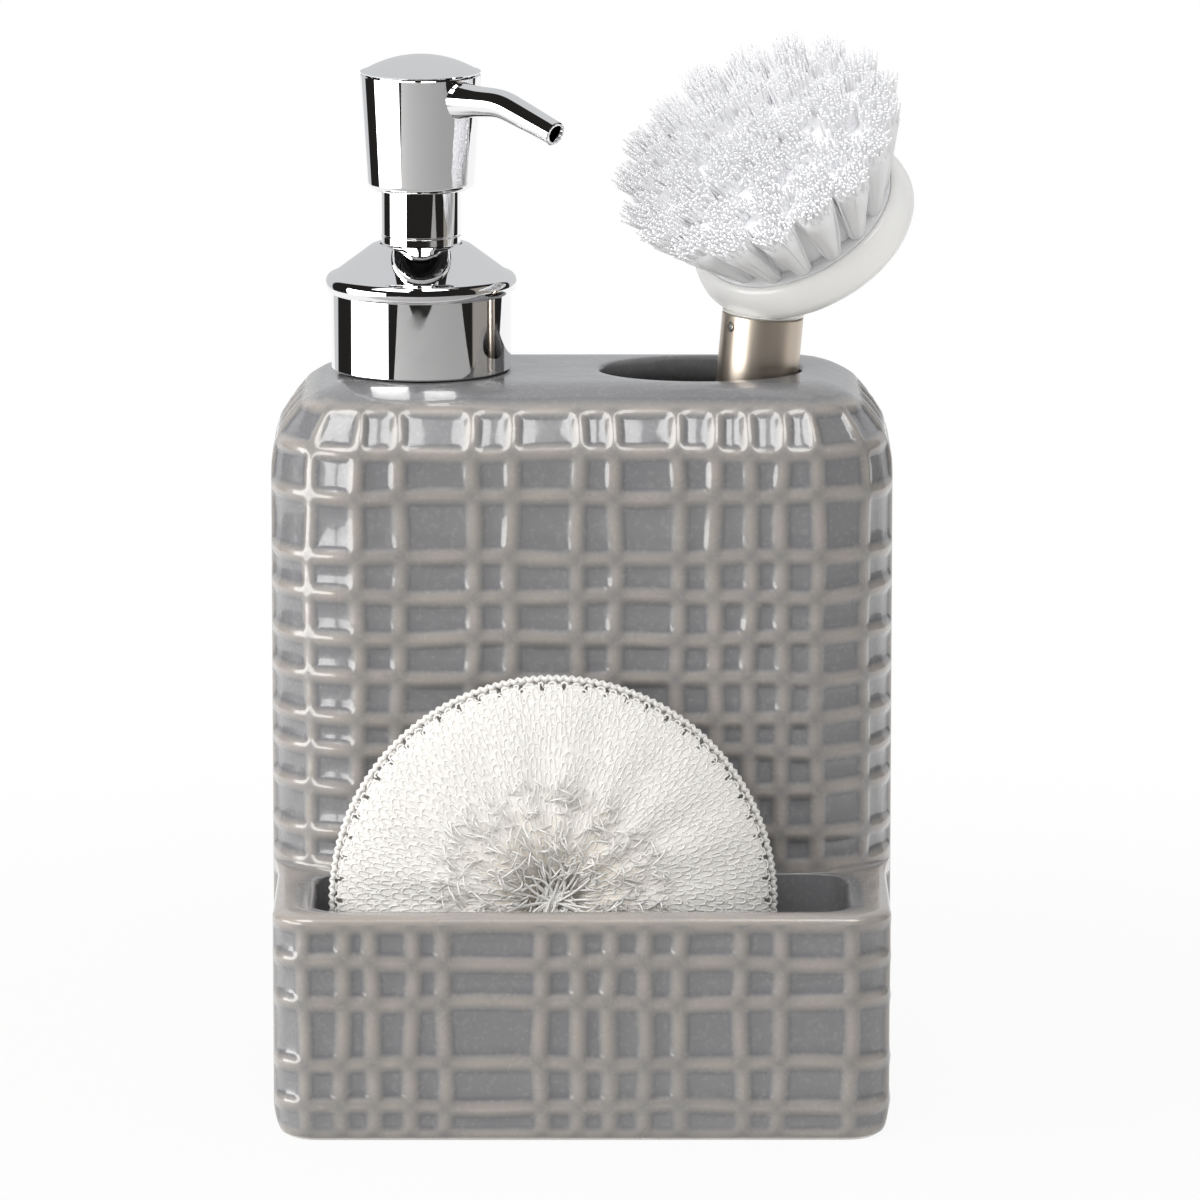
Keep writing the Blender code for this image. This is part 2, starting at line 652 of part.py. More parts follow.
def make_closure(materials, axis):
    """The screw closure inside the chrome shroud: thread inside, drive ribs outside."""
    bottom = NECK_FOOT_Z + THREAD_CLEARANCE
    profile = [
        (CLOSURE_ROOT, bottom), (CLOSURE_RADIUS, bottom), (CLOSURE_RADIUS, CLOSURE_TOP_Z),
        (CLOSURE_HOLE, CLOSURE_TOP_Z), (CLOSURE_HOLE, CLOSURE_UNDER_Z), (CLOSURE_ROOT, CLOSURE_UNDER_Z)]
    closure = add_piece("threaded_closure", turned(profile, MEDIUM_SIDES), materials["white_plastic"], axis)
    rib = helical_rib(
        "closure_thread", CLOSURE_ROOT, CLOSURE_ROOT - THREAD_DEPTH, THREAD_SINK,
        NECK_FOOT_Z + THREAD_START + THREAD_PITCH / 2, 1, axis)
    combine(closure, rib, 'UNION')

    drive = bmesh.new()
    outer = SHROUD_RADIUS - SHROUD_WALL - GAP
    for i in range(CLOSURE_RIBS):
        low = (CLOSURE_RADIUS - CLOSURE_WALL / 2, -CLOSURE_RIB_WIDTH / 2, bottom + CLOSURE_TOP)
        high = (outer, CLOSURE_RIB_WIDTH / 2, CLOSURE_UNDER_Z)
        rib = box(low, high)
        turn = Matrix.Rotation(2 * math.pi * i / CLOSURE_RIBS, 3, 'Z')
        bmesh.ops.rotate(rib, verts=rib.verts, matrix=turn)
        mesh = bpy.data.meshes.new("drive_rib")
        rib.to_mesh(mesh)
        rib.free()
        drive.from_mesh(mesh)
        bpy.data.meshes.remove(mesh)
    combine(closure, add_piece("drive_ribs", drive, None, axis), 'UNION')


def make_shroud(materials, axis):
    """The chrome collar: straight skirt, half-round bead, cone and a small flat lip."""
    inner = SHROUD_RADIUS - SHROUD_WALL
    hole = SLEEVE_RADIUS + GAP
    outside = [(SHROUD_RADIUS, SEAT_Z)]
    outside += arc((SHROUD_RADIUS, BEAD_Z), (BEAD_BULGE, BEAD_HALF_HEIGHT), -90, 90, 6)
    outside += [(SHROUD_TOP_RADIUS, COLLAR_TOP_Z - SHROUD_LIP_RISE), (hole, COLLAR_TOP_Z)]
    inside = [
        (hole, COLLAR_TOP_Z - SHROUD_WALL),
        (SHROUD_TOP_RADIUS, COLLAR_TOP_Z - SHROUD_LIP_RISE - SHROUD_WALL),
        (inner, CONE_FOOT_Z - SHROUD_WALL), (inner, SEAT_Z)]
    add_piece("collar_shroud", turned(outside + inside, WIDE_SIDES), materials["chrome"], axis)


def make_sleeve(materials, axis):
    """The chrome tube that stands on the closure and carries the head over it."""
    bore = SLEEVE_RADIUS - SLEEVE_WALL
    groove = COLLAR_TOP_Z + SLEEVE_GROOVE_RISE
    waist = SLEEVE_RADIUS - SLEEVE_GROOVE_DEPTH
    foot = CLOSURE_TOP_Z + GAP
    flange_top = COLLAR_TOP_Z - SHROUD_LIP_RISE - SHROUD_WALL - GAP
    profile = [
        (bore, foot), (SLEEVE_RADIUS, foot), (SLEEVE_RADIUS, flange_top - SLEEVE_FLANGE),
        (SHROUD_TOP_RADIUS - GAP, flange_top - SLEEVE_FLANGE), (SHROUD_TOP_RADIUS - GAP, flange_top),
        (SLEEVE_RADIUS, flange_top), (SLEEVE_RADIUS, groove), (waist, groove),
        (waist, groove + SLEEVE_GROOVE), (SLEEVE_RADIUS, groove + SLEEVE_GROOVE),
        (SLEEVE_RADIUS, SLEEVE_TOP_Z), (bore, SLEEVE_TOP_Z)]
    add_piece("stem_sleeve", turned(profile, WIDE_SIDES), materials["chrome"], axis)


def make_housing(materials, axis):
    """The pump cylinder with its flange, foot valve seat and dip tube socket."""
    spigot = SOCKET_RADIUS + HOUSING_WALL
    flange = NECK_RADIUS - GAP
    profile = [
        (HOUSING_BORE, HOUSING_TOP_Z), (HOUSING_BORE, HOUSING_LEDGE_Z), (BALL_CHAMBER, HOUSING_LEDGE_Z),
        (BALL_CHAMBER, BALL_SEAT_Z + BALL_SEAT_RISE), (BALL_SEAT_BORE, BALL_SEAT_Z),
        (BALL_SEAT_BORE, SOCKET_TOP_Z), (SOCKET_RADIUS, SOCKET_TOP_Z), (SOCKET_RADIUS, HOUSING_BOTTOM_Z),
        (spigot, HOUSING_BOTTOM_Z), (spigot, BALL_SEAT_Z), (HOUSING_RADIUS, HOUSING_LEDGE_Z - HOUSING_WALL),
        (HOUSING_RADIUS, HOUSING_FLANGE_Z), (flange, HOUSING_FLANGE_Z), (flange, HOUSING_TOP_Z)]
    add_piece("pump_housing", turned(profile, MEDIUM_SIDES), materials["clear_plastic"], axis)

    gasket = [
        (NECK_BORE, CLOSURE_GASKET_Z), (flange, CLOSURE_GASKET_Z),
        (flange, CLOSURE_GASKET_Z + CLOSURE_GASKET), (NECK_BORE, CLOSURE_GASKET_Z + CLOSURE_GASKET)]
    add_piece("closure_gasket", turned(gasket, MEDIUM_SIDES), materials["rubber"], axis)

    rim_radius = CLOSURE_HOLE - GAP
    rim_z = HOUSING_TOP_Z + GAP
    bore = STEM_RADIUS + GAP
    chaplet = [
        (bore, CHAPLET_BOTTOM_Z), (HOUSING_BORE - GAP, CHAPLET_BOTTOM_Z), (HOUSING_BORE - GAP, rim_z),
        (rim_radius, rim_z), (rim_radius, rim_z + CHAPLET_RIM), (bore, rim_z + CHAPLET_RIM)]
    add_piece("housing_cap", turned(chaplet, MEDIUM_SIDES), materials["white_plastic"], axis)

    tube_top = SOCKET_TOP_Z - GAP
    tube_foot = BODY_FLOOR + DIP_TUBE_STANDOFF
    tube_bore = DIP_TUBE_RADIUS - DIP_TUBE_WALL
    tube = [
        (tube_bore, tube_foot), (DIP_TUBE_RADIUS, tube_foot),
        (DIP_TUBE_RADIUS, tube_top), (tube_bore, tube_top)]
    add_piece("dip_tube", turned(tube, SMALL_SIDES), materials["clear_plastic"], axis)

    rest = ball_rest(INLET_BALL_RADIUS, BALL_SEAT_BORE, BALL_CHAMBER, BALL_SEAT_RISE)
    add_piece("inlet_ball", ball(INLET_BALL_RADIUS, BALL_SEAT_Z + rest), materials["steel"], axis)


def make_spring(materials, axis):
    """The return spring: one unbroken coil between the housing ledge and the stem foot."""
    low = HOUSING_LEDGE_Z + GAP + SPRING_WIRE
    high = STEM_FOOT_Z - GAP - SPRING_WIRE
    curve = bpy.data.curves.new("return_spring", 'CURVE')
    curve.dimensions = '3D'
    curve.bevel_depth = SPRING_WIRE
    curve.bevel_resolution = 1
    curve.use_fill_caps = True
    spline = curve.splines.new('POLY')
    count = SPRING_CURLS * SPRING_POINTS + 1
    spline.points.add(count - 1)
    for i in range(count):
        share = i / (count - 1)
        angle = 2 * math.pi * SPRING_CURLS * share
        height = low + (high - low) * share
        point = (SPRING_RADIUS * math.cos(angle), SPRING_RADIUS * math.sin(angle), height, 1)
        spline.points[i].co = point
    least = (high - low) / SPRING_CURLS - 2 * SPRING_WIRE
    print(f"return spring: least gap between curls {least * 1000:.2f} mm")
    curve.materials.append(materials["steel"])
    spring = bpy.data.objects.new("return_spring", curve)
    bpy.context.scene.collection.objects.link(spring)
    spring.parent = axis


def make_plunger(materials, axis):
    """The hollow stem with its foot, the piston seal on it and the outlet ball in it."""
    stem = [
        (STEM_BORE, STEM_FOOT_Z), (STEM_FOOT_RADIUS, STEM_FOOT_Z),
        (STEM_FOOT_RADIUS, STEM_FOOT_Z + STEM_FOOT), (STEM_RADIUS, STEM_FOOT_Z + STEM_FOOT),
        (STEM_RADIUS, STEM_TOP_Z), (OUTLET_CHAMBER, STEM_TOP_Z),
        (OUTLET_CHAMBER, OUTLET_SEAT_Z + OUTLET_SEAT_RISE), (STEM_BORE, OUTLET_SEAT_Z)]
    add_piece("piston_stem", turned(stem, SMALL_SIDES), materials["white_plastic"], axis)

    lip = HOUSING_BORE - GAP
    waist = lip - PISTON_WAIST
    inner = STEM_RADIUS + GAP
    seal = [
        (inner, PISTON_Z), (lip, PISTON_Z), (waist, PISTON_Z + PISTON_LENGTH / 4),
        (waist, PISTON_Z + PISTON_LENGTH * 3 / 4), (lip, PISTON_Z + PISTON_LENGTH),
        (inner, PISTON_Z + PISTON_LENGTH)]
    add_piece("piston_seal", turned(seal, MEDIUM_SIDES), materials["white_plastic"], axis)

    rest = ball_rest(OUTLET_BALL_RADIUS, STEM_BORE, OUTLET_CHAMBER, OUTLET_SEAT_RISE)
    add_piece("outlet_ball", ball(OUTLET_BALL_RADIUS, OUTLET_SEAT_Z + rest), materials["steel"], axis)


def spout_path(start, end, steps):
    """Points down the middle of the spout: nearly level, a bend, then a straight fall."""
    direction = Vector((math.cos(SPOUT_TURN), math.sin(SPOUT_TURN), 0))
    points = []
    height = SPOUT_Z
    last = start
    for i in range(steps + 1):
        reach = start + (end - start) * i / steps
        middle = (reach + last) / 2
        bend = min(1, max(0, (middle - SPOUT_BEND_START) / SPOUT_BEND_LENGTH))
        angle = SPOUT_RISE_ANGLE * (1 - bend) - SPOUT_FALL_ANGLE * bend
        height += (reach - last) * math.tan(angle)
        last = reach
        points.append(direction * reach + Vector((0, 0, height)))
    return points


def head_radius(height):
    """Outer radius of the tapered head at one height."""
    share = (height - HEAD_Z) / HEAD_HEIGHT
    return HEAD_BOTTOM_RADIUS + (HEAD_TOP_RADIUS - HEAD_BOTTOM_RADIUS) * share


def make_head(materials, axis):
    """The chrome cup with its spout, the pressed-in cap and the insert that takes the stem."""
    edge = arc((HEAD_BOTTOM_RADIUS - HEAD_EDGE, HEAD_Z + HEAD_EDGE), (HEAD_EDGE, HEAD_EDGE), -90, 0, 4)
    cup = edge + [
        (HEAD_TOP_RADIUS, HEAD_TOP_Z), (HEAD_TOP_RADIUS - HEAD_WALL, HEAD_TOP_Z),
        (HEAD_BOTTOM_RADIUS - HEAD_WALL, HEAD_Z)]
    shell = add_piece("head_shell", turned(cup, WIDE_SIDES), materials["chrome"], axis)

    root = head_radius(SPOUT_Z) - HEAD_WALL / 2
    points = spout_path(root, SPOUT_REACH, SPOUT_STEPS)
    radii = []
    for i in range(SPOUT_STEPS + 1):
        share = i / SPOUT_STEPS
        taper = SPOUT_ROOT_RADIUS + (SPOUT_TIP_RADIUS - SPOUT_ROOT_RADIUS) * share
        radii.append(taper + SPOUT_FLARE * max(0, 1 - share / SPOUT_FLARE_SHARE) ** 2)
    spout = add_piece("spout_joined", swept(points, radii, SMALL_SIDES), None, axis)
    combine(shell, spout, 'UNION')
    bore_start = head_radius(SPOUT_Z) - 2 * HEAD_WALL
    bore_points = spout_path(bore_start, SPOUT_REACH + HEAD_WALL, SPOUT_STEPS)
    bore = swept(bore_points, [SPOUT_BORE] * (SPOUT_STEPS + 1), SMALL_SIDES)
    combine(shell, add_piece("spout_bore_cut", bore, None, axis), 'DIFFERENCE')

    dome_z = HEAD_TOP_Z + GAP
    plug = HEAD_TOP_RADIUS - HEAD_WALL - 2 * GAP
    sphere = (HEAD_TOP_RADIUS ** 2 + CAP_DOME ** 2) / (2 * CAP_DOME)
    cap = [(0, CAP_PLUG_Z), (plug, CAP_PLUG_Z), (plug, dome_z), (HEAD_TOP_RADIUS, dome_z)]
    for i in range(1, CAP_DOME_STEPS):
        radius = HEAD_TOP_RADIUS * (1 - i / CAP_DOME_STEPS)
        rise = math.sqrt(sphere ** 2 - radius ** 2) - (sphere - CAP_DOME)
        cap.append((radius, dome_z + rise))
    cap.append((0, dome_z + CAP_DOME))
    add_piece("head_cap", turned(cap, WIDE_SIDES), materials["chrome"], axis)

    clear = HEAD_WALL + GAP
    body = [
        (0, STEM_TOP_Z + GAP), (STEM_RADIUS + GAP, STEM_TOP_Z + GAP), (STEM_RADIUS + GAP, HUB_Z),
        (HUB_RADIUS, HUB_Z), (HUB_RADIUS, INSERT_Z), (head_radius(INSERT_Z) - clear, INSERT_Z),
        (head_radius(INSERT_TOP_Z) - clear, INSERT_TOP_Z), (0, INSERT_TOP_Z)]
    insert = add_piece("head_insert", turned(body, MEDIUM_SIDES), materials["white_plastic"], axis)
    turn_z = SPOUT_Z + SPOUT_BORE / 2
    upright = turned(
        [(0, STEM_TOP_Z), (STEM_BORE, STEM_TOP_Z), (STEM_BORE, turn_z), (0, turn_z)], SMALL_SIDES)
    combine(insert, add_piece("insert_upright_cut", upright, None, axis), 'DIFFERENCE')
    channel_points = [
        Vector((math.cos(SPOUT_TURN) * reach, math.sin(SPOUT_TURN) * reach, SPOUT_Z))
        for reach in (-STEM_BORE / 2, HEAD_TOP_RADIUS)]
    channel = swept(channel_points, [SPOUT_BORE] * 2, SMALL_SIDES)
    combine(insert, add_piece("insert_channel_cut", channel, None, axis), 'DIFFERENCE')


def plate_frame():
    """Bristle direction and centre of the brush plate, in the handle's frame."""
    normal = Vector((
        math.sin(HEAD_ANGLE) * math.cos(HEAD_TURN), math.sin(HEAD_ANGLE) * math.sin(HEAD_TURN),
        math.cos(HEAD_ANGLE)))
    centre = Vector((0, 0, HANDLE_LENGTH + NECK_RISE)) - normal * HEAD_SETBACK
    return normal, centre


def make_brush_handle(materials, axis):
    """The steel tube with its end plug, and the rivet near its top."""
    bore = HANDLE_RADIUS - HANDLE_WALL
    foot = END_CAP + GAP
    tube = [(bore, foot), (HANDLE_RADIUS, foot), (HANDLE_RADIUS, HANDLE_LENGTH), (bore, HANDLE_LENGTH)]
    handle = add_piece("brush_handle", turned(tube, WIDE_SIDES), materials["brushed_steel"], axis)

    plug = [
        (0, 0), (HANDLE_RADIUS - END_CAP / 2, 0), (HANDLE_RADIUS, END_CAP / 2), (HANDLE_RADIUS, END_CAP),
        (SPIGOT_RADIUS, END_CAP), (SPIGOT_RADIUS, END_CAP + END_PLUG), (0, END_CAP + END_PLUG)]
    add_piece("handle_end_plug", turned(plug, MEDIUM_SIDES), materials["white_plastic"], axis)

    height = HANDLE_LENGTH - RIVET_DROP
    direction = Vector((math.cos(RIVET_TURN), math.sin(RIVET_TURN), 0))
    place = Matrix.Translation((0, 0, height)) @ direction.to_track_quat('Z', 'Y').to_matrix().to_4x4()
    rivet_axis = add_empty("rivet_axis", place, axis)
    low = HANDLE_RADIUS - RIVET_DEPTH
    high = HANDLE_RADIUS + RIVET_PROUD
    rivet = [
        (0, low), (RIVET_RADIUS, low), (RIVET_RADIUS, high - RIVET_PROUD),
        (RIVET_RADIUS / 2, high), (0, high)]
    add_piece("neck_rivet", turned(rivet, SMALL_SIDES), materials["steel"], rivet_axis)
    hole = [
        (0, low - GAP), (RIVET_RADIUS + GAP, low - GAP),
        (RIVET_RADIUS + GAP, high + OVERRUN), (0, high + OVERRUN)]
    rivet_hole = add_piece("rivet_hole_cut", turned(hole, SMALL_SIDES), None, rivet_axis)
    combine(handle, rivet_hole, 'DIFFERENCE')
    return rivet_hole


def make_brush_head(materials, axis, plate_axis, rivet_hole):
    """The white head: crowned plate, sloping boss and the spigot that fills the tube."""
    recess = PLATE_RADIUS - PLATE_RIM
    floor = PLATE_CROWN - BACKING_THICKNESS - GAP
    flat = recess + 2 * GAP
    profile = [(0, floor), (recess, floor), (recess, PLATE_CROWN)]
    profile += arc((flat, 0), (PLATE_RADIUS - flat, PLATE_CROWN), 90, 0, 5)
    under = PLATE_RADIUS - PLATE_UNDER_ROUND
    profile += arc((under, 0), (PLATE_UNDER_ROUND, PLATE_UNDER), 0, -90, 4)[1:]
    profile.append((0, -PLATE_UNDER - PLATE_BELLY))
    head = add_piece("brush_head", turned(profile, WIDE_SIDES), materials["white_plastic"], plate_axis)

    normal, centre = plate_frame()
    seam = HANDLE_LENGTH + GAP
    top_point = centre + normal * BOSS_REACH
    low_ring = []
    high_ring = []
    for i in range(MEDIUM_SIDES):
        angle = 2 * math.pi * i / MEDIUM_SIDES
        edge = Vector((HANDLE_RADIUS * math.cos(angle), HANDLE_RADIUS * math.sin(angle), seam))
        climb = (top_point - edge).dot(normal) / normal.z
        low_ring.append(edge)
        high_ring.append(edge + Vector((0, 0, climb)))
    combine(head, add_piece("boss_joined", lofted([low_ring, high_ring]), None, axis), 'UNION')
    bottom = HANDLE_LENGTH - SPIGOT_LENGTH
    spigot = [(0, bottom), (SPIGOT_RADIUS, bottom), (SPIGOT_RADIUS, seam + GAP), (0, seam + GAP)]
    combine(head, add_piece("spigot_joined", turned(spigot, MEDIUM_SIDES), None, axis), 'UNION')
    combine(head, rivet_hole, 'DIFFERENCE')


def strand_feet():
    """Foot and tip of every strand; tufts fan apart, so no two strands cross."""
    tufts = [(0, 0)]
    for ring in range(1, TUFT_RINGS + 1):
        for i in range(6 * ring):
            angle = 2 * math.pi * (i + 0.5 * (ring % 2)) / (6 * ring)
            tufts.append((TUFT_PITCH * ring * math.cos(angle), TUFT_PITCH * ring * math.sin(angle)))
    places = [(TUFT_INNER_RADIUS, k, 3) for k in range(3)] + [(TUFT_OUTER_RADIUS, k, 6) for k in range(6)]
    strands = []
    for tuft_x, tuft_y in tufts:
        for radius, k, count in places:
            angle = 2 * math.pi * (k + 0.5) / count
            side_x = radius * math.cos(angle)
            side_y = radius * math.sin(angle)
            foot = (tuft_x + side_x, tuft_y + side_y)
            tip = (
                tuft_x * (1 + FAN_SHARE) + side_x * (1 + TUFT_FAN_SHARE),
                tuft_y * (1 + FAN_SHARE) + side_y * (1 + TUFT_FAN_SHARE))
            strands.append((foot, tip))
    return strands


def make_bristles(materials, plate_axis):
    """Bristle tufts as one body with the slice of backing that holds them."""
    generator = random.Random(BRISTLE_SEED)
    bm = bmesh.new()
    for foot, tip in strand_feet():
        length = BRISTLE_LENGTH + generator.uniform(-BRISTLE_JITTER, BRISTLE_JITTER)
        turn = generator.uniform(0, 2 * math.pi)
        rings = []
        for x, y, z in ((*foot, PLATE_CROWN - BACKING_THICKNESS / 2), (*tip, PLATE_CROWN + length)):
            ring = []
            for k in range(3):
                angle = turn + 2 * math.pi * k / 3
                side_x = STRAND_RADIUS * math.cos(angle)
                side_y = STRAND_RADIUS * math.sin(angle)
                ring.append(bm.verts.new((x + side_x, y + side_y, z)))
            rings.append(ring)
        bridge(bm, rings[0], rings[1])
        bm.faces.new(reversed(rings[0]))
        bm.faces.new(rings[1])
    strands = add_piece("strands_joined", bm, None, plate_axis, smooth=False)

    radius = PLATE_RADIUS - PLATE_RIM - GAP
    low = PLATE_CROWN - BACKING_THICKNESS
    backing = [(0, low), (radius, low), (radius, PLATE_CROWN), (0, PLATE_CROWN)]
    slice_mesh = turned(backing, MEDIUM_SIDES)
    bristles = add_piece("bristles", slice_mesh, materials["bristle"], plate_axis, smooth=False)
    combine(bristles, strands, 'UNION')
    print(f"bristles: {len(strand_feet())} strands")


def make_brush(materials):
    """The dish brush, leaning in its well."""
    foot = Matrix.Translation((HANDLE_FOOT_X, BODY_MIDDLE, HANDLE_FOOT_Z))
    axis = add_empty("brush_axis", foot @ Matrix.Rotation(HANDLE_LEAN, 4, 'Y'))
    normal, centre = plate_frame()
    turn = Vector((0, 0, 1)).rotation_difference(normal).to_matrix().to_4x4()
    plate_axis = add_empty("plate_axis", Matrix.Translation(centre) @ turn, axis)
    rivet_hole = make_brush_handle(materials, axis)
    make_brush_head(materials, axis, plate_axis, rivet_hole)
    make_bristles(materials, plate_axis)


def pad_half_thickness(share, angle):
    """Half thickness of the scrubber from its drawn-in centre (0) to its rim (1)."""
    radius = share * PAD_RADIUS
    crown = math.sqrt(max(0, 1 - share ** 2))
    rim = PAD_RIM_THICKNESS / 2
    half = rim + (PAD_THICKNESS / 2 - rim) * crown
    dimple = PAD_DIMPLE * math.exp(-(radius / PAD_DIMPLE_RADIUS) ** 2)
    pleat = PAD_PLEAT_DEPTH * math.cos(PAD_PLEATS * angle) * math.sin(math.pi * share)
    return half - dimple + pleat


def pad_outline(angle, flat):
    """Rim radius at one angle: scalloped, and pressed flat where the pad stands."""
    radius = PAD_RADIUS + PAD_SCALLOP * math.cos(PAD_PLEATS * angle)
    down = -math.sin(angle)
    if down > 0 and radius * down > flat:
        radius = flat / down
    return radius


def pad_back_reach():
    """How far the leaning pad reaches behind its own centre."""
    reach = 0
    for i in range(PAD_SAMPLES):
        share = i / PAD_SAMPLES
        back = pad_half_thickness(share, 0) * math.cos(PAD_LEAN) + share * PAD_RADIUS * math.sin(PAD_LEAN)
        reach = max(reach, back)
    return reach


def make_scrubber(materials):
    """The round knitted scrubber and its tie, leaning against the block in the pocket."""
    drop = PAD_CENTRE_HEIGHT - POCKET_FLOOR - GAP - PAD_RIM_THICKNESS * math.sin(PAD_LEAN)
    flat = drop / math.cos(PAD_LEAN)
    centre_y = BLOCK_FRONT - pad_back_reach() - GAP
    upright = Matrix.Rotation(math.radians(90) - PAD_LEAN, 4, 'X')
    axis = add_empty("scrubber_axis", Matrix.Translation((PAD_X, centre_y, PAD_CENTRE_HEIGHT)) @ upright)

    steps = PAD_PLEATS * PAD_STEPS_PER_PLEAT
    bm = bmesh.new()
    faces = []
    for side in (1, -1):
        rings = [[bm.verts.new((0, 0, side * pad_half_thickness(0, 0)))]]
        for share in PAD_RING_SHARES:
            ring = []
            for i in range(steps):
                angle = 2 * math.pi * i / steps
                radius = share * pad_outline(angle, flat)
                ring.append(bm.verts.new((
                    radius * math.cos(angle), radius * math.sin(angle),
                    side * pad_half_thickness(share, angle))))
            rings.append(ring)
        for lower, upper in zip(rings, rings[1:]):
            bridge(bm, lower, upper)
        faces.append(rings[-1])
    bridge(bm, faces[0], faces[1])
    add_piece("scrubber_pad", bm, materials["mesh"], axis)

    edge_share = (TIE_RADIUS + TIE_CORD_RADIUS) / PAD_RADIUS
    seat = pad_half_thickness(edge_share, 0) + TIE_CORD_RADIUS + GAP
    tie = arc((TIE_RADIUS, seat), (TIE_CORD_RADIUS, TIE_CORD_RADIUS), 0, 315, 7)
    add_piece("scrubber_tie", turned(tie, SMALL_SIDES), materials["mesh"], axis)


def make_materials():
    """The object's finishes, as linear RGB, roughness and metallic."""
    return {
        "glaze": make_material("grey_glaze", (0.26, 0.255, 0.25), 0.12),
        "chrome": make_material("chrome", (0.86, 0.86, 0.87), 0.05, 1.0),
        "brushed_steel": make_material("brushed_steel", (0.50, 0.45, 0.40), 0.30, 1.0),
        "steel": make_material("steel", (0.60, 0.59, 0.57), 0.20, 1.0),
        "white_plastic": make_material("white_plastic", (0.85, 0.84, 0.80), 0.35),
        "clear_plastic": make_material("natural_plastic", (0.78, 0.79, 0.78), 0.25),
        "rubber": make_material("grey_rubber", (0.12, 0.12, 0.12), 0.60),
        "bristle": make_material("white_bristle", (0.87, 0.87, 0.88), 0.45),
        "mesh": make_material("white_mesh", (0.86, 0.85, 0.83), 0.55),
    }


def main():
    """Build every piece of the dispenser."""
    clear_scene()
    materials = make_materials()
    make_ceramic_body(materials["glaze"])
    pump_axis = add_empty("pump_axis", Matrix.Translation((PUMP_X, BODY_MIDDLE, 0)))
    make_stopper(materials, pump_axis)
    make_closure(materials, pump_axis)
    make_shroud(materials, pump_axis)
    make_sleeve(materials, pump_axis)
    make_housing(materials, pump_axis)
    make_spring(materials, pump_axis)
    make_plunger(materials, pump_axis)
    make_head(materials, pump_axis)
    make_brush(materials)
    make_scrubber(materials)


main()
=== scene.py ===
# %% [markdown]
# # A soap dispenser with a dish brush and a scrubber
# This lesson dresses a finished technical model. The model arrives as a frame of plain solids, each
# at its real place and size in metres, and each riding on a moving body. Every step below makes one
# visible piece finer than its solid, gives it a finish, and sets it on the body it belongs to.

# %% Load the frame
import math
import random

import bmesh
import bpy
from mathutils import Matrix, Vector
from mathutils.geometry import delaunay_2d_cdt


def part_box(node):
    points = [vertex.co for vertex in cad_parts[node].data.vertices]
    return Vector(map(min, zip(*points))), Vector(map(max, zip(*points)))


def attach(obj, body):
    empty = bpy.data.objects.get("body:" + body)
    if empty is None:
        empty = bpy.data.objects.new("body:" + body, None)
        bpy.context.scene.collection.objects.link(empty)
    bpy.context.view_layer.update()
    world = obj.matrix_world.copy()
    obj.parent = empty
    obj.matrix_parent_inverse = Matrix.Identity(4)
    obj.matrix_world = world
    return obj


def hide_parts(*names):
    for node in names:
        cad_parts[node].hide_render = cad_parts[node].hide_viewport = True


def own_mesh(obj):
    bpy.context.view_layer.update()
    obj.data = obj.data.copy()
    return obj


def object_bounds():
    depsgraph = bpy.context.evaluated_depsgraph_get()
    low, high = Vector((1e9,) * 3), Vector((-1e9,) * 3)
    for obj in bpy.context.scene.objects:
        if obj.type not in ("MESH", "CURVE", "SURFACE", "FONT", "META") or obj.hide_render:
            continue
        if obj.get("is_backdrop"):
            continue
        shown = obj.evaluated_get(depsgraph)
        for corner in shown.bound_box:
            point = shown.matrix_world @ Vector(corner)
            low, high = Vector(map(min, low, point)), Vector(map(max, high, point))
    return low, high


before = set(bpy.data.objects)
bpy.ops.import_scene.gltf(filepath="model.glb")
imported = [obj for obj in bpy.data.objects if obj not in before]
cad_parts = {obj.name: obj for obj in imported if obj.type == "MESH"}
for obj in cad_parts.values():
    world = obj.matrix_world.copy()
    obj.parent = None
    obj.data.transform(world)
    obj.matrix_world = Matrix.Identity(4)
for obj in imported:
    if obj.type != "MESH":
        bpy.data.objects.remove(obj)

cad_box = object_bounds()
least, most = ([round(value, 4) for value in corner] for corner in cad_box)
print("solid model from", least, "to", most)

# %% [markdown]
# ## The camera
# The photograph was taken from far away with a long lens, so upright edges stay upright. A long
# lens is a large focal length in Blender. The camera looks slightly down, from straight in front.

# %% Camera
LENS = 293.7
CAMERA_PLACE = (0, -2.1482, 0.5224)
CAMERA_PITCH = math.radians(10.864)
CAMERA_TURN = math.radians(0.108)

camera_data = bpy.data.cameras.new("camera")
camera_data.lens = LENS
camera_data.clip_end = 50
camera = bpy.data.objects.new("camera", camera_data)
camera.location = CAMERA_PLACE
camera.rotation_euler = (math.pi / 2 - CAMERA_PITCH, 0, -CAMERA_TURN)
bpy.context.scene.collection.objects.link(camera)
bpy.context.scene.camera = camera

# %% [markdown]
# ## Writing shader maths as Python
# A node material can be wired by hand, but a pattern is easier to read as a formula. The class
# below wraps an output socket, so that adding or multiplying two of them adds a Math node. A second
# class holds one node tree, and its one method adds any other node.

# %% Sockets that can be added and multiplied
class Wire:
    """One output socket of a node tree. Sums and products on it add Math nodes."""

    def __init__(self, board, socket):
        self.board = board
        self.socket = socket

    def __add__(self, other):
        return self.board.math("ADD", self, other)

    def __sub__(self, other):
        return self.board.math("SUBTRACT", self, other)

    def __rsub__(self, other):
        return self.board.math("SUBTRACT", other, self)

    def __mul__(self, other):
        return self.board.math("MULTIPLY", self, other)

    __radd__ = __add__
    __rmul__ = __mul__

    def above(self, edge, softness):
        """0 below an edge value and 1 above it, with a soft step between."""
        settings = {"interpolation_type": "SMOOTHSTEP"}
        values = {"Value": self, "From Min": edge - softness, "From Max": edge + softness}
        return self.board.node("ShaderNodeMapRange", settings, values)


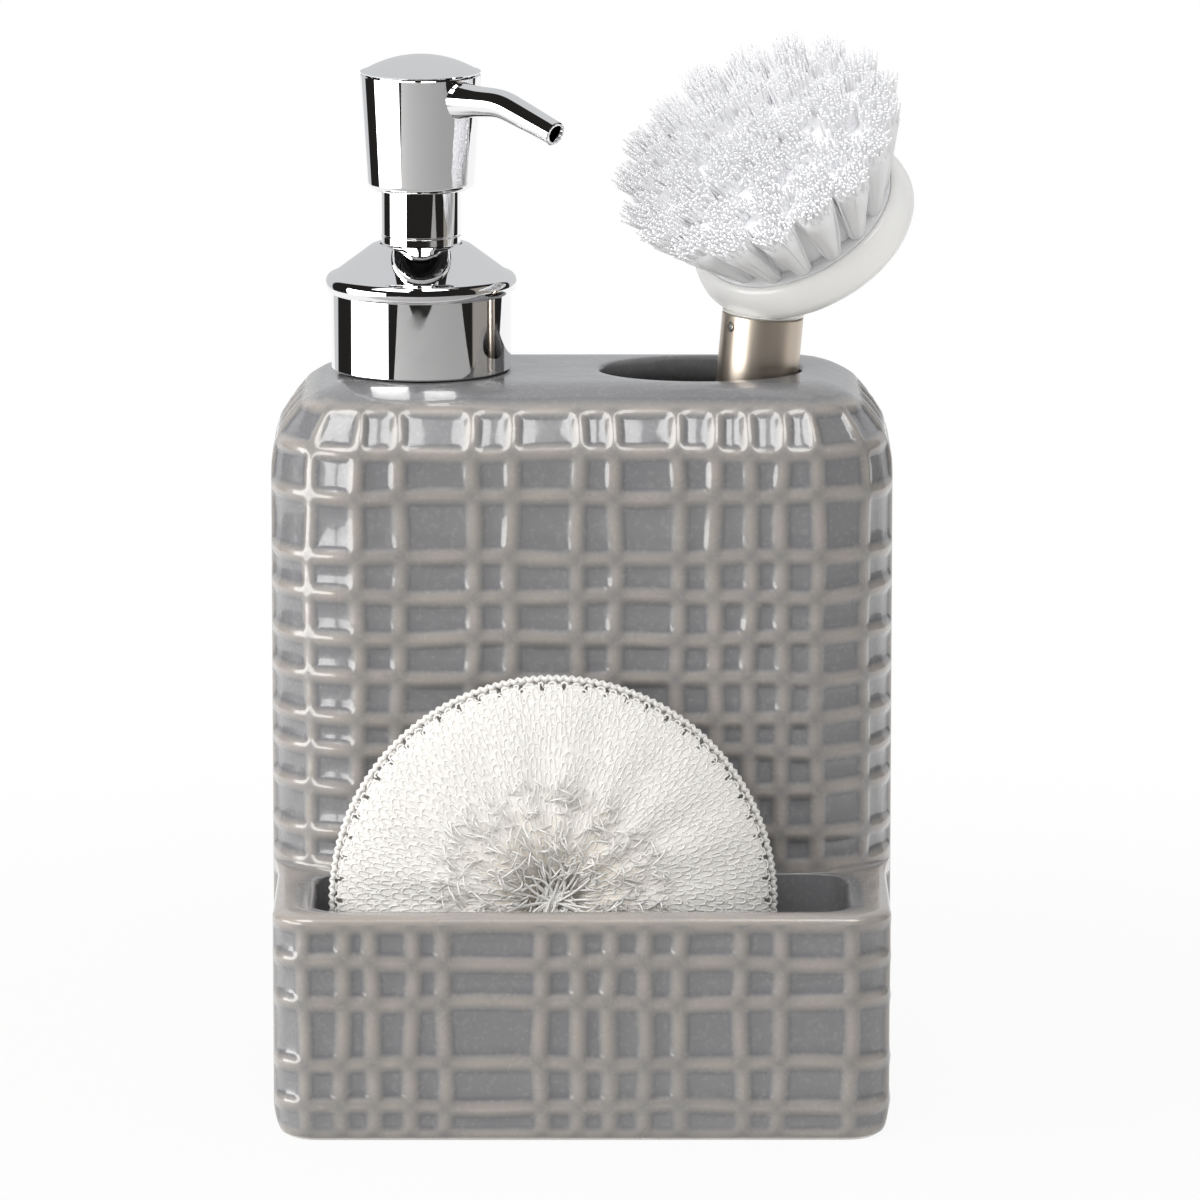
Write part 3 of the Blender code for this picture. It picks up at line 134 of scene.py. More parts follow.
# %% A board that nodes are added to
class Board:
    """One node tree. Its node method adds any node; feed links or sets a socket."""

    def __init__(self, tree):
        self.tree = tree

    def feed(self, socket, value):
        if isinstance(value, Wire):
            self.tree.links.new(value.socket, socket)
        elif socket.type == "RGBA" and len(value) == 3:
            socket.default_value = (*value, 1)
        else:
            socket.default_value = value

    def node(self, kind, settings=None, sockets=None, out=0):
        added = self.tree.nodes.new(kind)
        for name, value in (settings or {}).items():
            if name == "stops":
                ramp = added.color_ramp
                for stop, (place, colour) in enumerate(value):
                    element = ramp.elements[stop] if stop < 2 else ramp.elements.new(place)
                    element.position = place
                    element.color = (*colour, 1)
            else:
                setattr(added, name, value)
        for name, value in (sockets or {}).items():
            self.feed(added.inputs[name], value)
        return Wire(self, added.outputs[out])

    def math(self, operation, *values):
        """A Math node; each value is a number or a wire."""
        return self.node("ShaderNodeMath", {"operation": operation}, dict(enumerate(values)))

    def part(self, vector, axis):
        """One of the three numbers of a vector."""
        return self.node("ShaderNodeSeparateXYZ", None, {0: vector}, out=axis)

    def mix(self, factor, first, second):
        """A colour between two colours."""
        sockets = {0: factor, 6: first, 7: second}
        return self.node("ShaderNodeMix", {"data_type": "RGBA"}, sockets, out=2)

    def place(self):
        """Object coordinates in metres: every piece here has its origin at the frame's origin."""
        return self.node("ShaderNodeTexCoord", out="Object")

    def noise(self, scale, detail=2.0, stretch=(1, 1, 1)):
        """Cloudy noise, from 0 to 1; scale is in patches per metre."""
        vector = self.node("ShaderNodeMapping", None, {"Vector": self.place(), "Scale": stretch})
        sockets = {"Vector": vector, "Scale": scale, "Detail": detail}
        return self.node("ShaderNodeTexNoise", None, sockets)


# %% A finish is a material with a board
def tone(red, green, blue):
    """A display colour, 0 to 255, as the linear values that Blender's colours use."""
    linear = []
    for value in (red, green, blue):
        share = value / 255
        linear.append(share / 12.92 if share < 0.04045 else ((share + 0.055) / 1.055) ** 2.4)
    return tuple(linear)


def new_finish(name, **constants):
    """A Principled material whose plain values are set at once; underscores stand for spaces."""
    material = bpy.data.materials.new(name)
    material.use_nodes = True
    board = Board(material.node_tree)
    shader = material.node_tree.nodes["Principled BSDF"]
    for word, value in constants.items():
        board.feed(shader.inputs[word.replace("_", " ").title().replace("Ior", "IOR")], value)
    return material, board, shader


def dress(board, shader, colour, roughness, height, distance):
    """Feeds a colour, a roughness and the height of a fine relief to the shader."""
    board.feed(shader.inputs["Base Color"], colour)
    board.feed(shader.inputs["Roughness"], roughness)
    sockets = {"Height": height, "Distance": distance, "Strength": 1.0}
    board.feed(shader.inputs["Normal"], board.node("ShaderNodeBump", None, sockets))


# %% [markdown]
# ## Helpers for meshes
# Most hard pieces here are turned on a lathe or swept along a path, so two helpers make those. A
# real edge is never perfectly sharp: the rounding helper swaps each corner of an outline for a
# small arc, which catches a thin line of light.

# %% Round pieces
SHARP_ANGLE = math.radians(38)
ROUND_STEPS = 5
QUARTER_TURN = []
for step in range(ROUND_STEPS + 1):
    angle = math.pi / 2 * step / ROUND_STEPS
    QUARTER_TURN.append((math.sin(angle), math.cos(angle)))


def full_turn(count):
    """The angles of a full turn in equal steps."""
    return [2 * math.pi * k / count for k in range(count)]


def round_axis(radius, angle, height=0.0):
    """The point at a radius and an angle round the upright axis."""
    return Vector((radius * math.cos(angle), radius * math.sin(angle), height))


def eased(share):
    """From 0 to 1 with a slow start and a slow end; a share outside them is held."""
    share = min(1, max(0, share))
    return share * share * (3 - 2 * share)


def bridge(bm, lower, upper):
    """Quads between two closed rows of vertices; two vertices that are one give a triangle."""
    count = len(lower)
    for i in range(count):
        k = (i + 1) % count
        corners = []
        for vertex in (lower[i], lower[k], upper[k], upper[i]):
            if vertex not in corners:
                corners.append(vertex)
        if len(corners) > 2:
            bm.faces.new(corners)


def bridge_all(bm, rows):
    """Bridges each closed row of vertices to the next one."""
    for lower, upper in zip(rows, rows[1:]):
        bridge(bm, lower, upper)


def rounded(outline, radius, steps=3):
    """The same closed outline of (radius, height) points, with an arc in place of each corner.

    A point close to each end of an arc keeps the smooth shading of the arc off the long sides."""
    result = []
    count = len(outline)
    for i, point in enumerate(outline):
        here = Vector(point)
        before = Vector(outline[i - 1]) - here
        after = Vector(outline[(i + 1) % count]) - here
        bend = math.pi - before.angle(after)
        on_axis = here.x == 0
        if bend < math.radians(20) or on_axis:
            result.append(tuple(here))
            continue
        cut = min(radius * math.tan(bend / 2), before.length * 0.4, after.length * 0.4)
        first = here + before.normalized() * cut
        last = here + after.normalized() * cut
        result.append(tuple(here + before.normalized() * min(2 * cut, before.length * 0.45)))
        for k in range(steps + 1):
            share = k / steps
            way = first.lerp(here, share).lerp(here.lerp(last, share), share)
            result.append(tuple(way))
        result.append(tuple(here + after.normalized() * min(2 * cut, after.length * 0.45)))
    return result


def turned(bm, outline, sides, place):
    """Turns an outline of (radius, height) points round the upright axis of a place."""
    rings = []
    for radius, height in outline:
        if radius == 0:
            rings.append([bm.verts.new(place @ Vector((0, 0, height)))] * sides)
        else:
            points = [round_axis(radius, angle, height) for angle in full_turn(sides)]
            rings.append([bm.verts.new(place @ point) for point in points])
    for i, ring in enumerate(rings):
        k = (i + 1) % len(rings)
        if outline[i][0] != 0 or outline[k][0] != 0:
            bridge(bm, ring, rings[k])


# %% Swept pieces
def swept(bm, points, radii, sides, closed=False):
    """A tube along points; its rings turn as little as possible from one point to the next."""
    rings = []
    count = len(points)
    side = None
    for i, point in enumerate(points):
        ahead = points[(i + 1) % count] if closed or i < count - 1 else point
        behind = points[i - 1] if closed or i > 0 else point
        along = (ahead - behind).normalized()
        if side is None:
            side = along.orthogonal().normalized()
        side = (side - along * side.dot(along)).normalized()
        up = along.cross(side)
        radius = radii[i] if isinstance(radii, list) else radii
        aways = [side * math.cos(angle) + up * math.sin(angle) for angle in full_turn(sides)]
        rings.append([bm.verts.new(point + away * radius) for away in aways])
    bridge_all(bm, rings + rings[:1] if closed else rings)
    if not closed:
        bm.faces.new(reversed(rings[0]))
        bm.faces.new(rings[-1])


# %% From mesh to piece
def new_object(bm, name):
    """Makes a loose mesh an object of the scene."""
    mesh = bpy.data.meshes.new(name)
    bm.to_mesh(mesh)
    bm.free()
    made = bpy.data.objects.new(name, mesh)
    bpy.context.scene.collection.objects.link(made)
    return made


def piece_from(bm, name, body, slot, material, stands_for, smooth_angle=SHARP_ANGLE):
    """Makes a loose mesh a piece that rides on a body and stands for CAD nodes."""
    bmesh.ops.recalc_face_normals(bm, faces=bm.faces)
    piece = new_object(bm, name)
    piece.data.shade_smooth()
    if smooth_angle is not None:
        piece.data.set_sharp_from_angle(angle=smooth_angle)
    piece.data.materials.append(material)
    if stands_for:
        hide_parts(*stands_for)
    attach(piece, body)
    print(name, "has", len(piece.data.polygons), "faces")
    return piece


def turned_piece(outline, sides, place, *about):
    """A piece turned from an outline; about is what piece_from needs to know of it."""
    bm = bmesh.new()
    turned(bm, outline, sides, place)
    return piece_from(bm, *about)


# %% [markdown]
# ## The ceramic casting: outline and profile
# The casting is slip-cast: a tall block with a low open pocket in front, one piece of clay. Its
# walls carry a soft grid of raised ribs. A sculpted or bumped grid would look fuzzy, so the wall is
# laid out as columns and rows that follow the ribs, like cloth with its threads in place.

# %% Sizes of the casting
BLOCK_WIDTH = 0.139
BLOCK_DEPTH = 0.075
BLOCK_CORNER = 0.022
SHOULDER = 0.020
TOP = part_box("ceramic_body")[1][2]
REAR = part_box("ceramic_body")[1][1]
BLOCK_FRONT = REAR - BLOCK_DEPTH
BLOCK_MIDDLE = REAR - BLOCK_DEPTH / 2
SPRING = TOP - SHOULDER
FOOT_INSET = 0.003
FOOT_RISE = 0.008
POCKET_HALF = 0.068
POCKET_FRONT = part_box("ceramic_body")[0][1]
POCKET_CORNER = 0.010
RIM = 0.051
RIM_ROUND = 0.003
RIM_FALL = 0.0018
FILLET_ROUND = 0.002
FILLET_RISE = 0.001
FILLET_LEAST = 0.0002
FILLET_FROM = 0.054
FILLET_FULL = 0.061
SHELF_SHARE = 0.45
PART_Y = 0.004

# %% The block's outline, by distance from the middle of its front
def block_outline(distance):
    """Point and outward direction on the block's outline, towards +X from the front's middle."""
    half = BLOCK_WIDTH / 2 - BLOCK_CORNER
    side = BLOCK_DEPTH - 2 * BLOCK_CORNER
    quarter = math.pi * BLOCK_CORNER / 2
    mirrored = distance < 0
    left = abs(distance)
    if left <= half:
        x, y, angle = left, BLOCK_FRONT, -math.pi / 2
    elif left <= half + quarter:
        angle = -math.pi / 2 + (left - half) / BLOCK_CORNER
        x = half + BLOCK_CORNER * math.cos(angle)
        y = BLOCK_FRONT + BLOCK_CORNER + BLOCK_CORNER * math.sin(angle)
    elif left <= half + quarter + side:
        x, y, angle = BLOCK_WIDTH / 2, BLOCK_FRONT + BLOCK_CORNER + left - half - quarter, 0
    elif left <= half + 2 * quarter + side:
        angle = (left - half - quarter - side) / BLOCK_CORNER
        x = half + BLOCK_CORNER * math.cos(angle)
        y = REAR - BLOCK_CORNER + BLOCK_CORNER * math.sin(angle)
    else:
        x, y, angle = 2 * half + 2 * quarter + side - left, REAR, math.pi / 2
    out = Vector((math.cos(angle), math.sin(angle)))
    if mirrored:
        return Vector((-x, y)), Vector((-out.x, out.y))
    return Vector((x, y)), out


def block_distance_at(y):
    """Distance along the outline at which the front corner reaches a depth y."""
    half = BLOCK_WIDTH / 2 - BLOCK_CORNER
    drop = (BLOCK_FRONT + BLOCK_CORNER - y) / BLOCK_CORNER
    return half + BLOCK_CORNER * (math.pi / 2 - math.asin(drop))


BLOCK_HALF_GIRTH = BLOCK_WIDTH + BLOCK_DEPTH - (4 - math.pi) * BLOCK_CORNER
PART_DISTANCE = block_distance_at(PART_Y)
print("block girth", round(2 * BLOCK_HALF_GIRTH, 4), "m")
print("the pocket leaves it", round(PART_DISTANCE, 4), "m from its front's middle")

# %% The pocket's outline, by distance from the middle of its front
POCKET_EASE_FROM = -0.008
FRONT_STEPS = 60
CORNER_STEPS = 24
SIDE_STEPS = 50
EASE_STEPS = 30


def pocket_side_points():
    """Right half of the pocket's outline from its front's middle to where it meets the block."""
    points = []
    straight = POCKET_HALF - POCKET_CORNER
    for i in range(FRONT_STEPS):
        points.append(Vector((straight * i / FRONT_STEPS, POCKET_FRONT)))
    start_y = POCKET_FRONT + POCKET_CORNER
    for i in range(CORNER_STEPS):
        angle = -math.pi / 2 + math.pi / 2 * i / CORNER_STEPS
        centre = Vector((straight, start_y))
        points.append(centre + POCKET_CORNER * Vector((math.cos(angle), math.sin(angle))))
    for i in range(SIDE_STEPS):
        y = start_y + (POCKET_EASE_FROM - start_y) * i / SIDE_STEPS
        points.append(Vector((POCKET_HALF, y)))
    meet, out = block_outline(PART_DISTANCE)
    slope = -out.y / out.x * (PART_Y - POCKET_EASE_FROM)
    for i in range(EASE_STEPS + 1):
        t = i / EASE_STEPS
        x = POCKET_HALF + (meet.x - POCKET_HALF) * eased(t) + slope * (t ** 3 - t ** 2)
        points.append(Vector((x, POCKET_EASE_FROM + (PART_Y - POCKET_EASE_FROM) * t)))
    return points


POCKET_POINTS = pocket_side_points()
POCKET_REACHED = [0]
for here, there in zip(POCKET_POINTS, POCKET_POINTS[1:]):
    POCKET_REACHED.append(POCKET_REACHED[-1] + (there - here).length)
POCKET_HALF_GIRTH = POCKET_REACHED[-1]
POCKET_OUTS = [Vector((0, -1))]
for before, after in zip(POCKET_POINTS, POCKET_POINTS[2:]):
    along = (after - before).normalized()
    POCKET_OUTS.append(Vector((along.y, -along.x)))
POCKET_OUTS.append(block_outline(PART_DISTANCE)[1])


def pocket_outline(distance):
    """Point and outward direction on the pocket's outline, towards +X from the front's middle."""
    left = min(abs(distance), POCKET_HALF_GIRTH)
    low, high = 0, len(POCKET_REACHED) - 1
    while high - low > 1:
        middle = (low + high) // 2
        if POCKET_REACHED[middle] <= left:
            low = middle
        else:
            high = middle
    share = (left - POCKET_REACHED[low]) / (POCKET_REACHED[high] - POCKET_REACHED[low])
    point = POCKET_POINTS[low].lerp(POCKET_POINTS[high], share)
    out = POCKET_OUTS[low].lerp(POCKET_OUTS[high], share).normalized()
    if distance < 0:
        return Vector((-point.x, point.y)), Vector((-out.x, out.y))
    return point, out


print("pocket half girth", round(POCKET_HALF_GIRTH, 4), "m")

# %% The wall's profile, by distance up the wall
TOP_RING = SPRING + 0.0192


def profile(rise):
    """Inset, height and upward tilt of the wall at a distance up it."""
    if rise < FOOT_RISE:
        turn = math.acos(1 - rise / FOOT_RISE)
        return FOOT_INSET * (1 - math.sin(turn)), rise, -math.cos(turn) * 0.5
    if rise <= SPRING:
        return 0, rise, 0
    angle = (rise - SPRING) / SHOULDER
    return SHOULDER * (1 - math.cos(angle)), SPRING + SHOULDER * math.sin(angle), angle


# %% [markdown]
# ## The casting's ribs
# The ribs stand at uneven steps, as if drawn by hand, and each one wanders a little. Between four
# ribs lies a shallow panel with round corners. The relief is one formula: how far a point is inside
# its panel sets how deep it lies. The same number is stored on the mesh, because the glaze is thin
# and warm on the ribs and thick and cool in the panels, and the finish reads it later.

# %% Where the ribs are
FRONT_RIBS = (
    -0.0619, -0.0499, -0.0405, -0.0241, -0.01565, -0.0008, 0.0073, 0.0214, 0.0295, 0.0373,
    0.0444, 0.0524, 0.0651)
SIDE_AND_BACK_RIBS = (
    0.0870, 0.0985, 0.1070, 0.1210, 0.1290, 0.1390, 0.1500, 0.1590, 0.1740, 0.1830)
POCKET_RIBS = (
    -0.1110, -0.0985, -0.0870, -0.0745, -0.0613, -0.0526, -0.0460, -0.0374, -0.0303, -0.0089,
    -0.0011, 0.0061, 0.0137, 0.0215, 0.0350, 0.0433, 0.0590, 0.0710, 0.0840, 0.0930, 0.1030,
    0.1140)

# %% Where the courses are, and the form of a rib
BLOCK_COURSES = (
    0.0526, 0.0600, 0.0700, 0.0785, 0.0861, 0.0951, 0.1042, 0.1137, 0.1225, 0.1362, 0.1463, 0.1572)
POCKET_COURSES = (0.0010, 0.0080, 0.0177, 0.0314, 0.0403, 0.0488)
RELIEF_DEPTH = 0.0007
RIB_HALF = 0.0008
RIB_SLOPE = 0.0021
PANEL_CORNER = 0.0018
RIB_WANDER = 0.00035
CROSSING = 0.0024
CROSSING_WEAR = 0.6
DISH = 0.0003
PANEL_VARIES = 0.15
COURSE_SWAY = 0.3

# %% The relief at a point
def wander(line, along):
    """How far a rib at a place called line leaves its straight course, at a distance along it."""
    phase = 400 * line
    return RIB_WANDER * (math.sin(95 * along + phase) + 0.5 * math.sin(233 * along + 1.7 * phase))


def relief(across, width, up, height):
    """Depth from 0 on a rib to 1 in a panel, at a place in a panel of a given width and height."""
    x = abs(across - width / 2) - (width / 2 - RIB_HALF - PANEL_CORNER)
    y = abs(up - height / 2) - (height / 2 - RIB_HALF - PANEL_CORNER)
    outside = math.hypot(max(x, 0), max(y, 0)) + min(max(x, y), 0) - PANEL_CORNER
    return eased((RIB_HALF - outside) / (RIB_HALF + RIB_SLOPE))


# %% Columns and rows that follow the ribs
RIB_OFFSETS = (0.0006, 0.0011, 0.0016, 0.0021, 0.0027)
PANEL_STEP = 0.0030


def stations(ribs):
    """For each column or row: the rib before it and its share of the way to the next one."""
    result = []
    for i, (low, high) in enumerate(zip(ribs, ribs[1:])):
        width = high - low
        near = [offset for offset in RIB_OFFSETS if offset < width / 2 - 0.0002]
        inner = width - 2 * near[-1]
        count = max(1, math.ceil(inner / PANEL_STEP))
        middle = [near[-1] + inner * k / count for k in range(1, count)]
        far = [width - offset for offset in reversed(near)]
        for offset in [0] + near + middle + far:
            result.append((i, offset / width))
    result.append((len(ribs) - 2, 1.0))
    return result


def line_at(lines, index, along, held):
    """Where one rib or course runs at a distance along it; the first and last are held back."""
    at_end = index in (0, len(lines) - 1)
    return lines[index] + (held if at_end else 1) * wander(lines[index], along)


def between(ribs, index, share, rise):
    """Distance along the outline at a share of the way between two ribs, and their gap."""
    low = line_at(ribs, index, rise, 0)
    width = line_at(ribs, index + 1, rise, 0) - low
    return low + width * share, width


def inward(bm, layer, flat, out, reach, height, bare):
    """A vertex at a reach inwards of an outline; it notes how bare of glaze its place is."""
    vertex = bm.verts.new((flat.x - out.x * reach, flat.y - out.y * reach, height))
    vertex[layer] = bare
    return vertex


def wall_point(bm, layer, flat, out, rise, depth, bare):
    """A vertex on the wall at a distance up it, pressed in by a depth."""
    inset, z, tilt = profile(rise)
    reach = inset + depth * math.cos(tilt)
    return inward(bm, layer, flat, out, reach, z - depth * math.sin(tilt), bare)


# %% One stretch of wall
def lay_out(bm, layer, outline, ribs, stacks, seed, foot, head):
    """A list of columns of vertices. Stacks are lists of courses; foot and head add end rows."""
    generator = random.Random(seed)
    depths = {}
    for i in range(len(ribs) - 1):
        for number, courses in enumerate(stacks):
            for j in range(len(courses) - 1):
                depths[i, number, j] = generator.uniform(1 - PANEL_VARIES, 1 + PANEL_VARIES)
    grid = []
    for i, share in stations(ribs):
        first, _ = between(ribs, i, share, stacks[0][0])
        column = foot(bm, layer, *outline(first))
        for number, courses in enumerate(stacks):
            if number > 0:
                seam, _ = between(ribs, i, share, RIM)
                column.append(wall_point(bm, layer, *outline(seam), RIM, 0, 1))
            for j, lift in stations(courses):
                rise = courses[j] + (courses[j + 1] - courses[j]) * lift
                distance, width = between(ribs, i, share, rise)
                flat, out = outline(distance)
                along = 0.9 * flat.x + 0.6 * flat.y
                level = line_at(courses, j, along, COURSE_SWAY)
                height = line_at(courses, j + 1, along, COURSE_SWAY) - level
                deep = relief(share * width, width, lift * height, height)
                dished = 16 * share * (1 - share) * lift * (1 - lift)
                depth = (RELIEF_DEPTH * depths[i, number, j] + DISH * dished) * deep
                rise = level + height * lift
                aside = min(share, 1 - share) * width
                above = min(lift, 1 - lift) * height
                crossing = math.exp(-(aside ** 2 + above ** 2) / CROSSING ** 2)
                bare = (1 - deep) * (1 - CROSSING_WEAR * crossing)
                column.append(wall_point(bm, layer, flat, out, rise, depth, bare))
        last, _ = between(ribs, i, share, stacks[-1][-1])
        column += head(bm, layer, *outline(last))
        grid.append(column)
    return grid


def skin(bm, grid):
    """Faces between neighbouring columns of a grid; corners that fall together give triangles."""
    for left, right in zip(grid, grid[1:]):
        for k in range(len(left) - 1):
            corners = []
            for vertex in (left[k], right[k], right[k + 1], left[k + 1]):
                if all((vertex.co - other.co).length > 1e-7 for other in corners):
                    corners.append(vertex)
            if len(corners) > 2:
                bm.faces.new(corners)


# %% The rows at the foot, the top, the pocket's rim and the fillet behind it
def foot_row(bm, layer, flat, out):
    return [wall_point(bm, layer, flat, out, 0, 0, 1)]


def top_row(bm, layer, flat, out):
    return [wall_point(bm, layer, flat, out, TOP_RING, 0, 0.6)]


def shelf_width(x, y):
    """Width of the flat shelf between the pocket's outline and the block's, at a depth y."""
    half = BLOCK_WIDTH / 2 - BLOCK_CORNER
    centre_y = BLOCK_FRONT + BLOCK_CORNER
    if y <= BLOCK_FRONT:
        return BLOCK_CORNER
    drop = min(BLOCK_CORNER, max(0, centre_y - y))
    return max(0, abs(x) - half - math.sqrt(BLOCK_CORNER ** 2 - drop ** 2))


def rim_rows(bm, layer, flat, out):
    """The rounding from the pocket's outer wall over to its flat rim."""
    room = SHELF_SHARE * shelf_width(flat.x, flat.y)
    inset = min(RIM_ROUND, room)
    fall = min(RIM_FALL, room)
    rows = []
    for sine, cosine in QUARTER_TURN:
        height = RIM - fall * (1 - sine)
        rows.append(inward(bm, layer, flat, out, inset * (1 - cosine), height, 1))
    return rows


def fillet_rows(bm, layer, flat, out):
    """The small hollow rounding where the flat shelf meets the block."""
    near = eased((abs(flat.x) - FILLET_FROM) / (FILLET_FULL - FILLET_FROM))
    spread = FILLET_LEAST + (FILLET_ROUND - FILLET_LEAST) * near
    if abs(flat.x) > FILLET_FULL:
        spread = min(spread, SHELF_SHARE * max(0, pocket_side_x(flat.y) - abs(flat.x)))
    rows = []
    for sine, cosine in QUARTER_TURN:
        height = RIM + min(spread, FILLET_RISE) * (1 - cosine)
        rows.append(inward(bm, layer, flat, out, -spread * (1 - sine), height, 0.5))
    return rows


def pocket_side_x(y):
    """How far out the pocket's side is at a depth y."""
    side = POCKET_POINTS[FRONT_STEPS + CORNER_STEPS:]
    return min(side, key=lambda point: abs(point.y - y)).x


# %% [markdown]
# ## The casting's shelf, hollow and top
# Where the surface is flat or gently domed and has holes in it, quads in rows don't fit. A Delaunay
# triangulation fills the space between the edge rows instead: it joins given points and edges with
# the fattest triangles it can.

# %% Filling a flat region with holes
ROW_SHARE = 0.87
TOUCHING = 1e-7


def within(loop, x, y):
    """True if a point is inside a closed loop of (x, y) points."""
    inside = False
    for (x0, y0), (x1, y1) in zip(loop, loop[1:] + loop[:1]):
        if (y0 > y) != (y1 > y) and x < (x1 - x0) * (y - y0) / (y1 - y0) + x0:
            inside = not inside
    return inside


def open_at(loops, x, y):
    """True if a point is inside the first loop and in none of the others."""
    return within(loops[0], x, y) and not any(within(hole, x, y) for hole in loops[1:])


def fill(bm, outer, holes, height, spacing=None):
    """Triangles between an outer loop of vertices and the loops of its holes."""
    loops = [outer] + holes
    flat = [[(v.co.x, v.co.y) for v in loop] for loop in loops]
    vertices = [v for loop in loops for v in loop]
    points = [Vector(p) for loop in flat for p in loop]
    edges = []
    start = 0
    for loop in loops:
        edges += [(start + i, start + (i + 1) % len(loop)) for i in range(len(loop))]
        start += len(loop)
    if spacing:
        edge_points = list(points)
        xs = [p.x for p in edge_points]
        ys = [p.y for p in edge_points]
        clear = (0.5 * spacing) ** 2
        row = 0
        y = min(ys) + spacing
        while y < max(ys):
            x = min(xs) + spacing * (1 + 0.5 * (row % 2))
            while x < max(xs):
                if open_at(flat, x, y):
                    if all((p.x - x) ** 2 + (p.y - y) ** 2 > clear for p in edge_points):
                        points.append(Vector((x, y)))
                x += spacing
            y += spacing * ROW_SHARE
            row += 1
    found, _, faces, sources, _, _ = delaunay_2d_cdt(points, edges, [], 0, TOUCHING)
    placed = []
    for i, point in enumerate(found):
        if sources[i] and sources[i][0] < len(vertices):
            placed.append(vertices[sources[i][0]])
        else:
            placed.append(bm.verts.new((point.x, point.y, height(point.x, point.y))))
    for face in faces:
        centre_x = sum(found[i].x for i in face) / len(face)
        centre_y = sum(found[i].y for i in face) / len(face)
        corners = [placed[i] for i in face]
        if not open_at(flat, centre_x, centre_y) or len(set(corners)) < len(corners):
            continue
        if bm.faces.get(corners) is None:
            bm.faces.new(corners)


# %% The gently domed top
def top_height(x, y):
    """Height of the casting's top at a place inside the block's outline."""
    across = abs(x) - (BLOCK_WIDTH / 2 - BLOCK_CORNER)
    deep = abs(y - BLOCK_MIDDLE) - (BLOCK_DEPTH / 2 - BLOCK_CORNER)
    outside = math.hypot(max(across, 0), max(deep, 0)) + min(max(across, deep), 0) - BLOCK_CORNER
    inside = min(SHOULDER, -outside)
    return SPRING + math.sqrt(SHOULDER ** 2 - (SHOULDER - inside) ** 2)


# %% Loops of vertices
def ellipse_loop(bm, centre, half_x, half_y, height, count):
    """A loop of vertices on an ellipse; height is a number or a function of the place."""
    loop = []
    for angle in full_turn(count):
        x = centre[0] + half_x * math.cos(angle)
        y = centre[1] + half_y * math.sin(angle)
        loop.append(bm.verts.new((x, y, height(x, y) if callable(height) else height)))
    return loop


def box_places(low, high, corner, steps):
    """Places along a rectangle with round corners, at height 0."""
    places = []
    centres = (
        (high[0] - corner, high[1] - corner, 0), (low[0] + corner, high[1] - corner, 90),
        (low[0] + corner, low[1] + corner, 180), (high[0] - corner, low[1] + corner, 270))
    for x, y, start in centres:
        for k in range(steps + 1):
            angle = math.radians(start + 90 * k / steps)
            places.append(Vector((x + corner * math.cos(angle), y + corner * math.sin(angle), 0)))
    return places


# %% Inner sizes of the casting
MOUTH = (-0.036, BLOCK_MIDDLE)
MOUTH_RADIUS = 0.0155
WELL_RIGHT = 0.0493
WELL_HALF_X = 0.0226
WELL_HALF_Y = 0.01685
WELL = (WELL_RIGHT - WELL_HALF_X, BLOCK_MIDDLE)
LIP_ROUND = 0.0011
CEILING = TOP - 0.006
CAVITY_FLOOR = 0.006
CAVITY_EDGE = 0.010
CAVITY_STEPS = 6
CAVITY_LOW_Y = BLOCK_FRONT + 0.005
CAVITY_HIGH_Y = REAR - 0.005
CAVITY_REACH = BLOCK_WIDTH / 2 - 0.005
DIVIDER_RIGHT = 0.004
DIVIDER_LEFT = -0.001
HOLLOW_HALF = 0.0588
HOLLOW_FRONT = POCKET_FRONT + 0.006
HOLLOW_REAR = BLOCK_FRONT - 0.0005
HOLLOW_CORNER = 0.007
HOLLOW_FLOOR = 0.005
HOLLOW_EDGE = 0.0016
HOLLOW_REAR_EDGE = 0.0002
HOLLOW_FOOT = 0.003
HOLLOW_STEPS = 12
TOP_SPACING = 0.0028


# %% The walls of the casting
def around(distance):
    """The block's outline past the middle of its back, by distance from the front's middle."""
    if distance > BLOCK_HALF_GIRTH:
        return block_outline(distance - 2 * BLOCK_HALF_GIRTH)
    return block_outline(distance)


def build_walls(bm, layer):
    """The relief walls: pocket front, block front and the stretch that both share."""
    part = PART_DISTANCE
    right = [part] + list(SIDE_AND_BACK_RIBS)
    shared_ribs = right + [2 * BLOCK_HALF_GIRTH - rib for rib in reversed(right)]
    front_ribs = [-part] + list(FRONT_RIBS) + [part]
    pocket_ribs = [-POCKET_HALF_GIRTH] + list(POCKET_RIBS) + [POCKET_HALF_GIRTH]
    pocket, block = [POCKET_COURSES], [BLOCK_COURSES]
    low = lay_out(bm, layer, pocket_outline, pocket_ribs, pocket, 3, foot_row, rim_rows)
    high = lay_out(bm, layer, block_outline, front_ribs, block, 5, fillet_rows, top_row)
    shared = lay_out(bm, layer, around, shared_ribs, pocket + block, 7, foot_row, top_row)
    for grid in (low, high, shared):
        skin(bm, grid)
    return low, high, shared


def joined(first, second):
    """Two rows of vertices as one closed loop, with the places that they share taken once."""
    loop = []
    for vertex in first + second:
        if not loop or (vertex.co - loop[-1].co).length > TOUCHING:
            loop.append(vertex)
    while (loop[0].co - loop[-1].co).length < TOUCHING:
        loop.pop()
    return loop


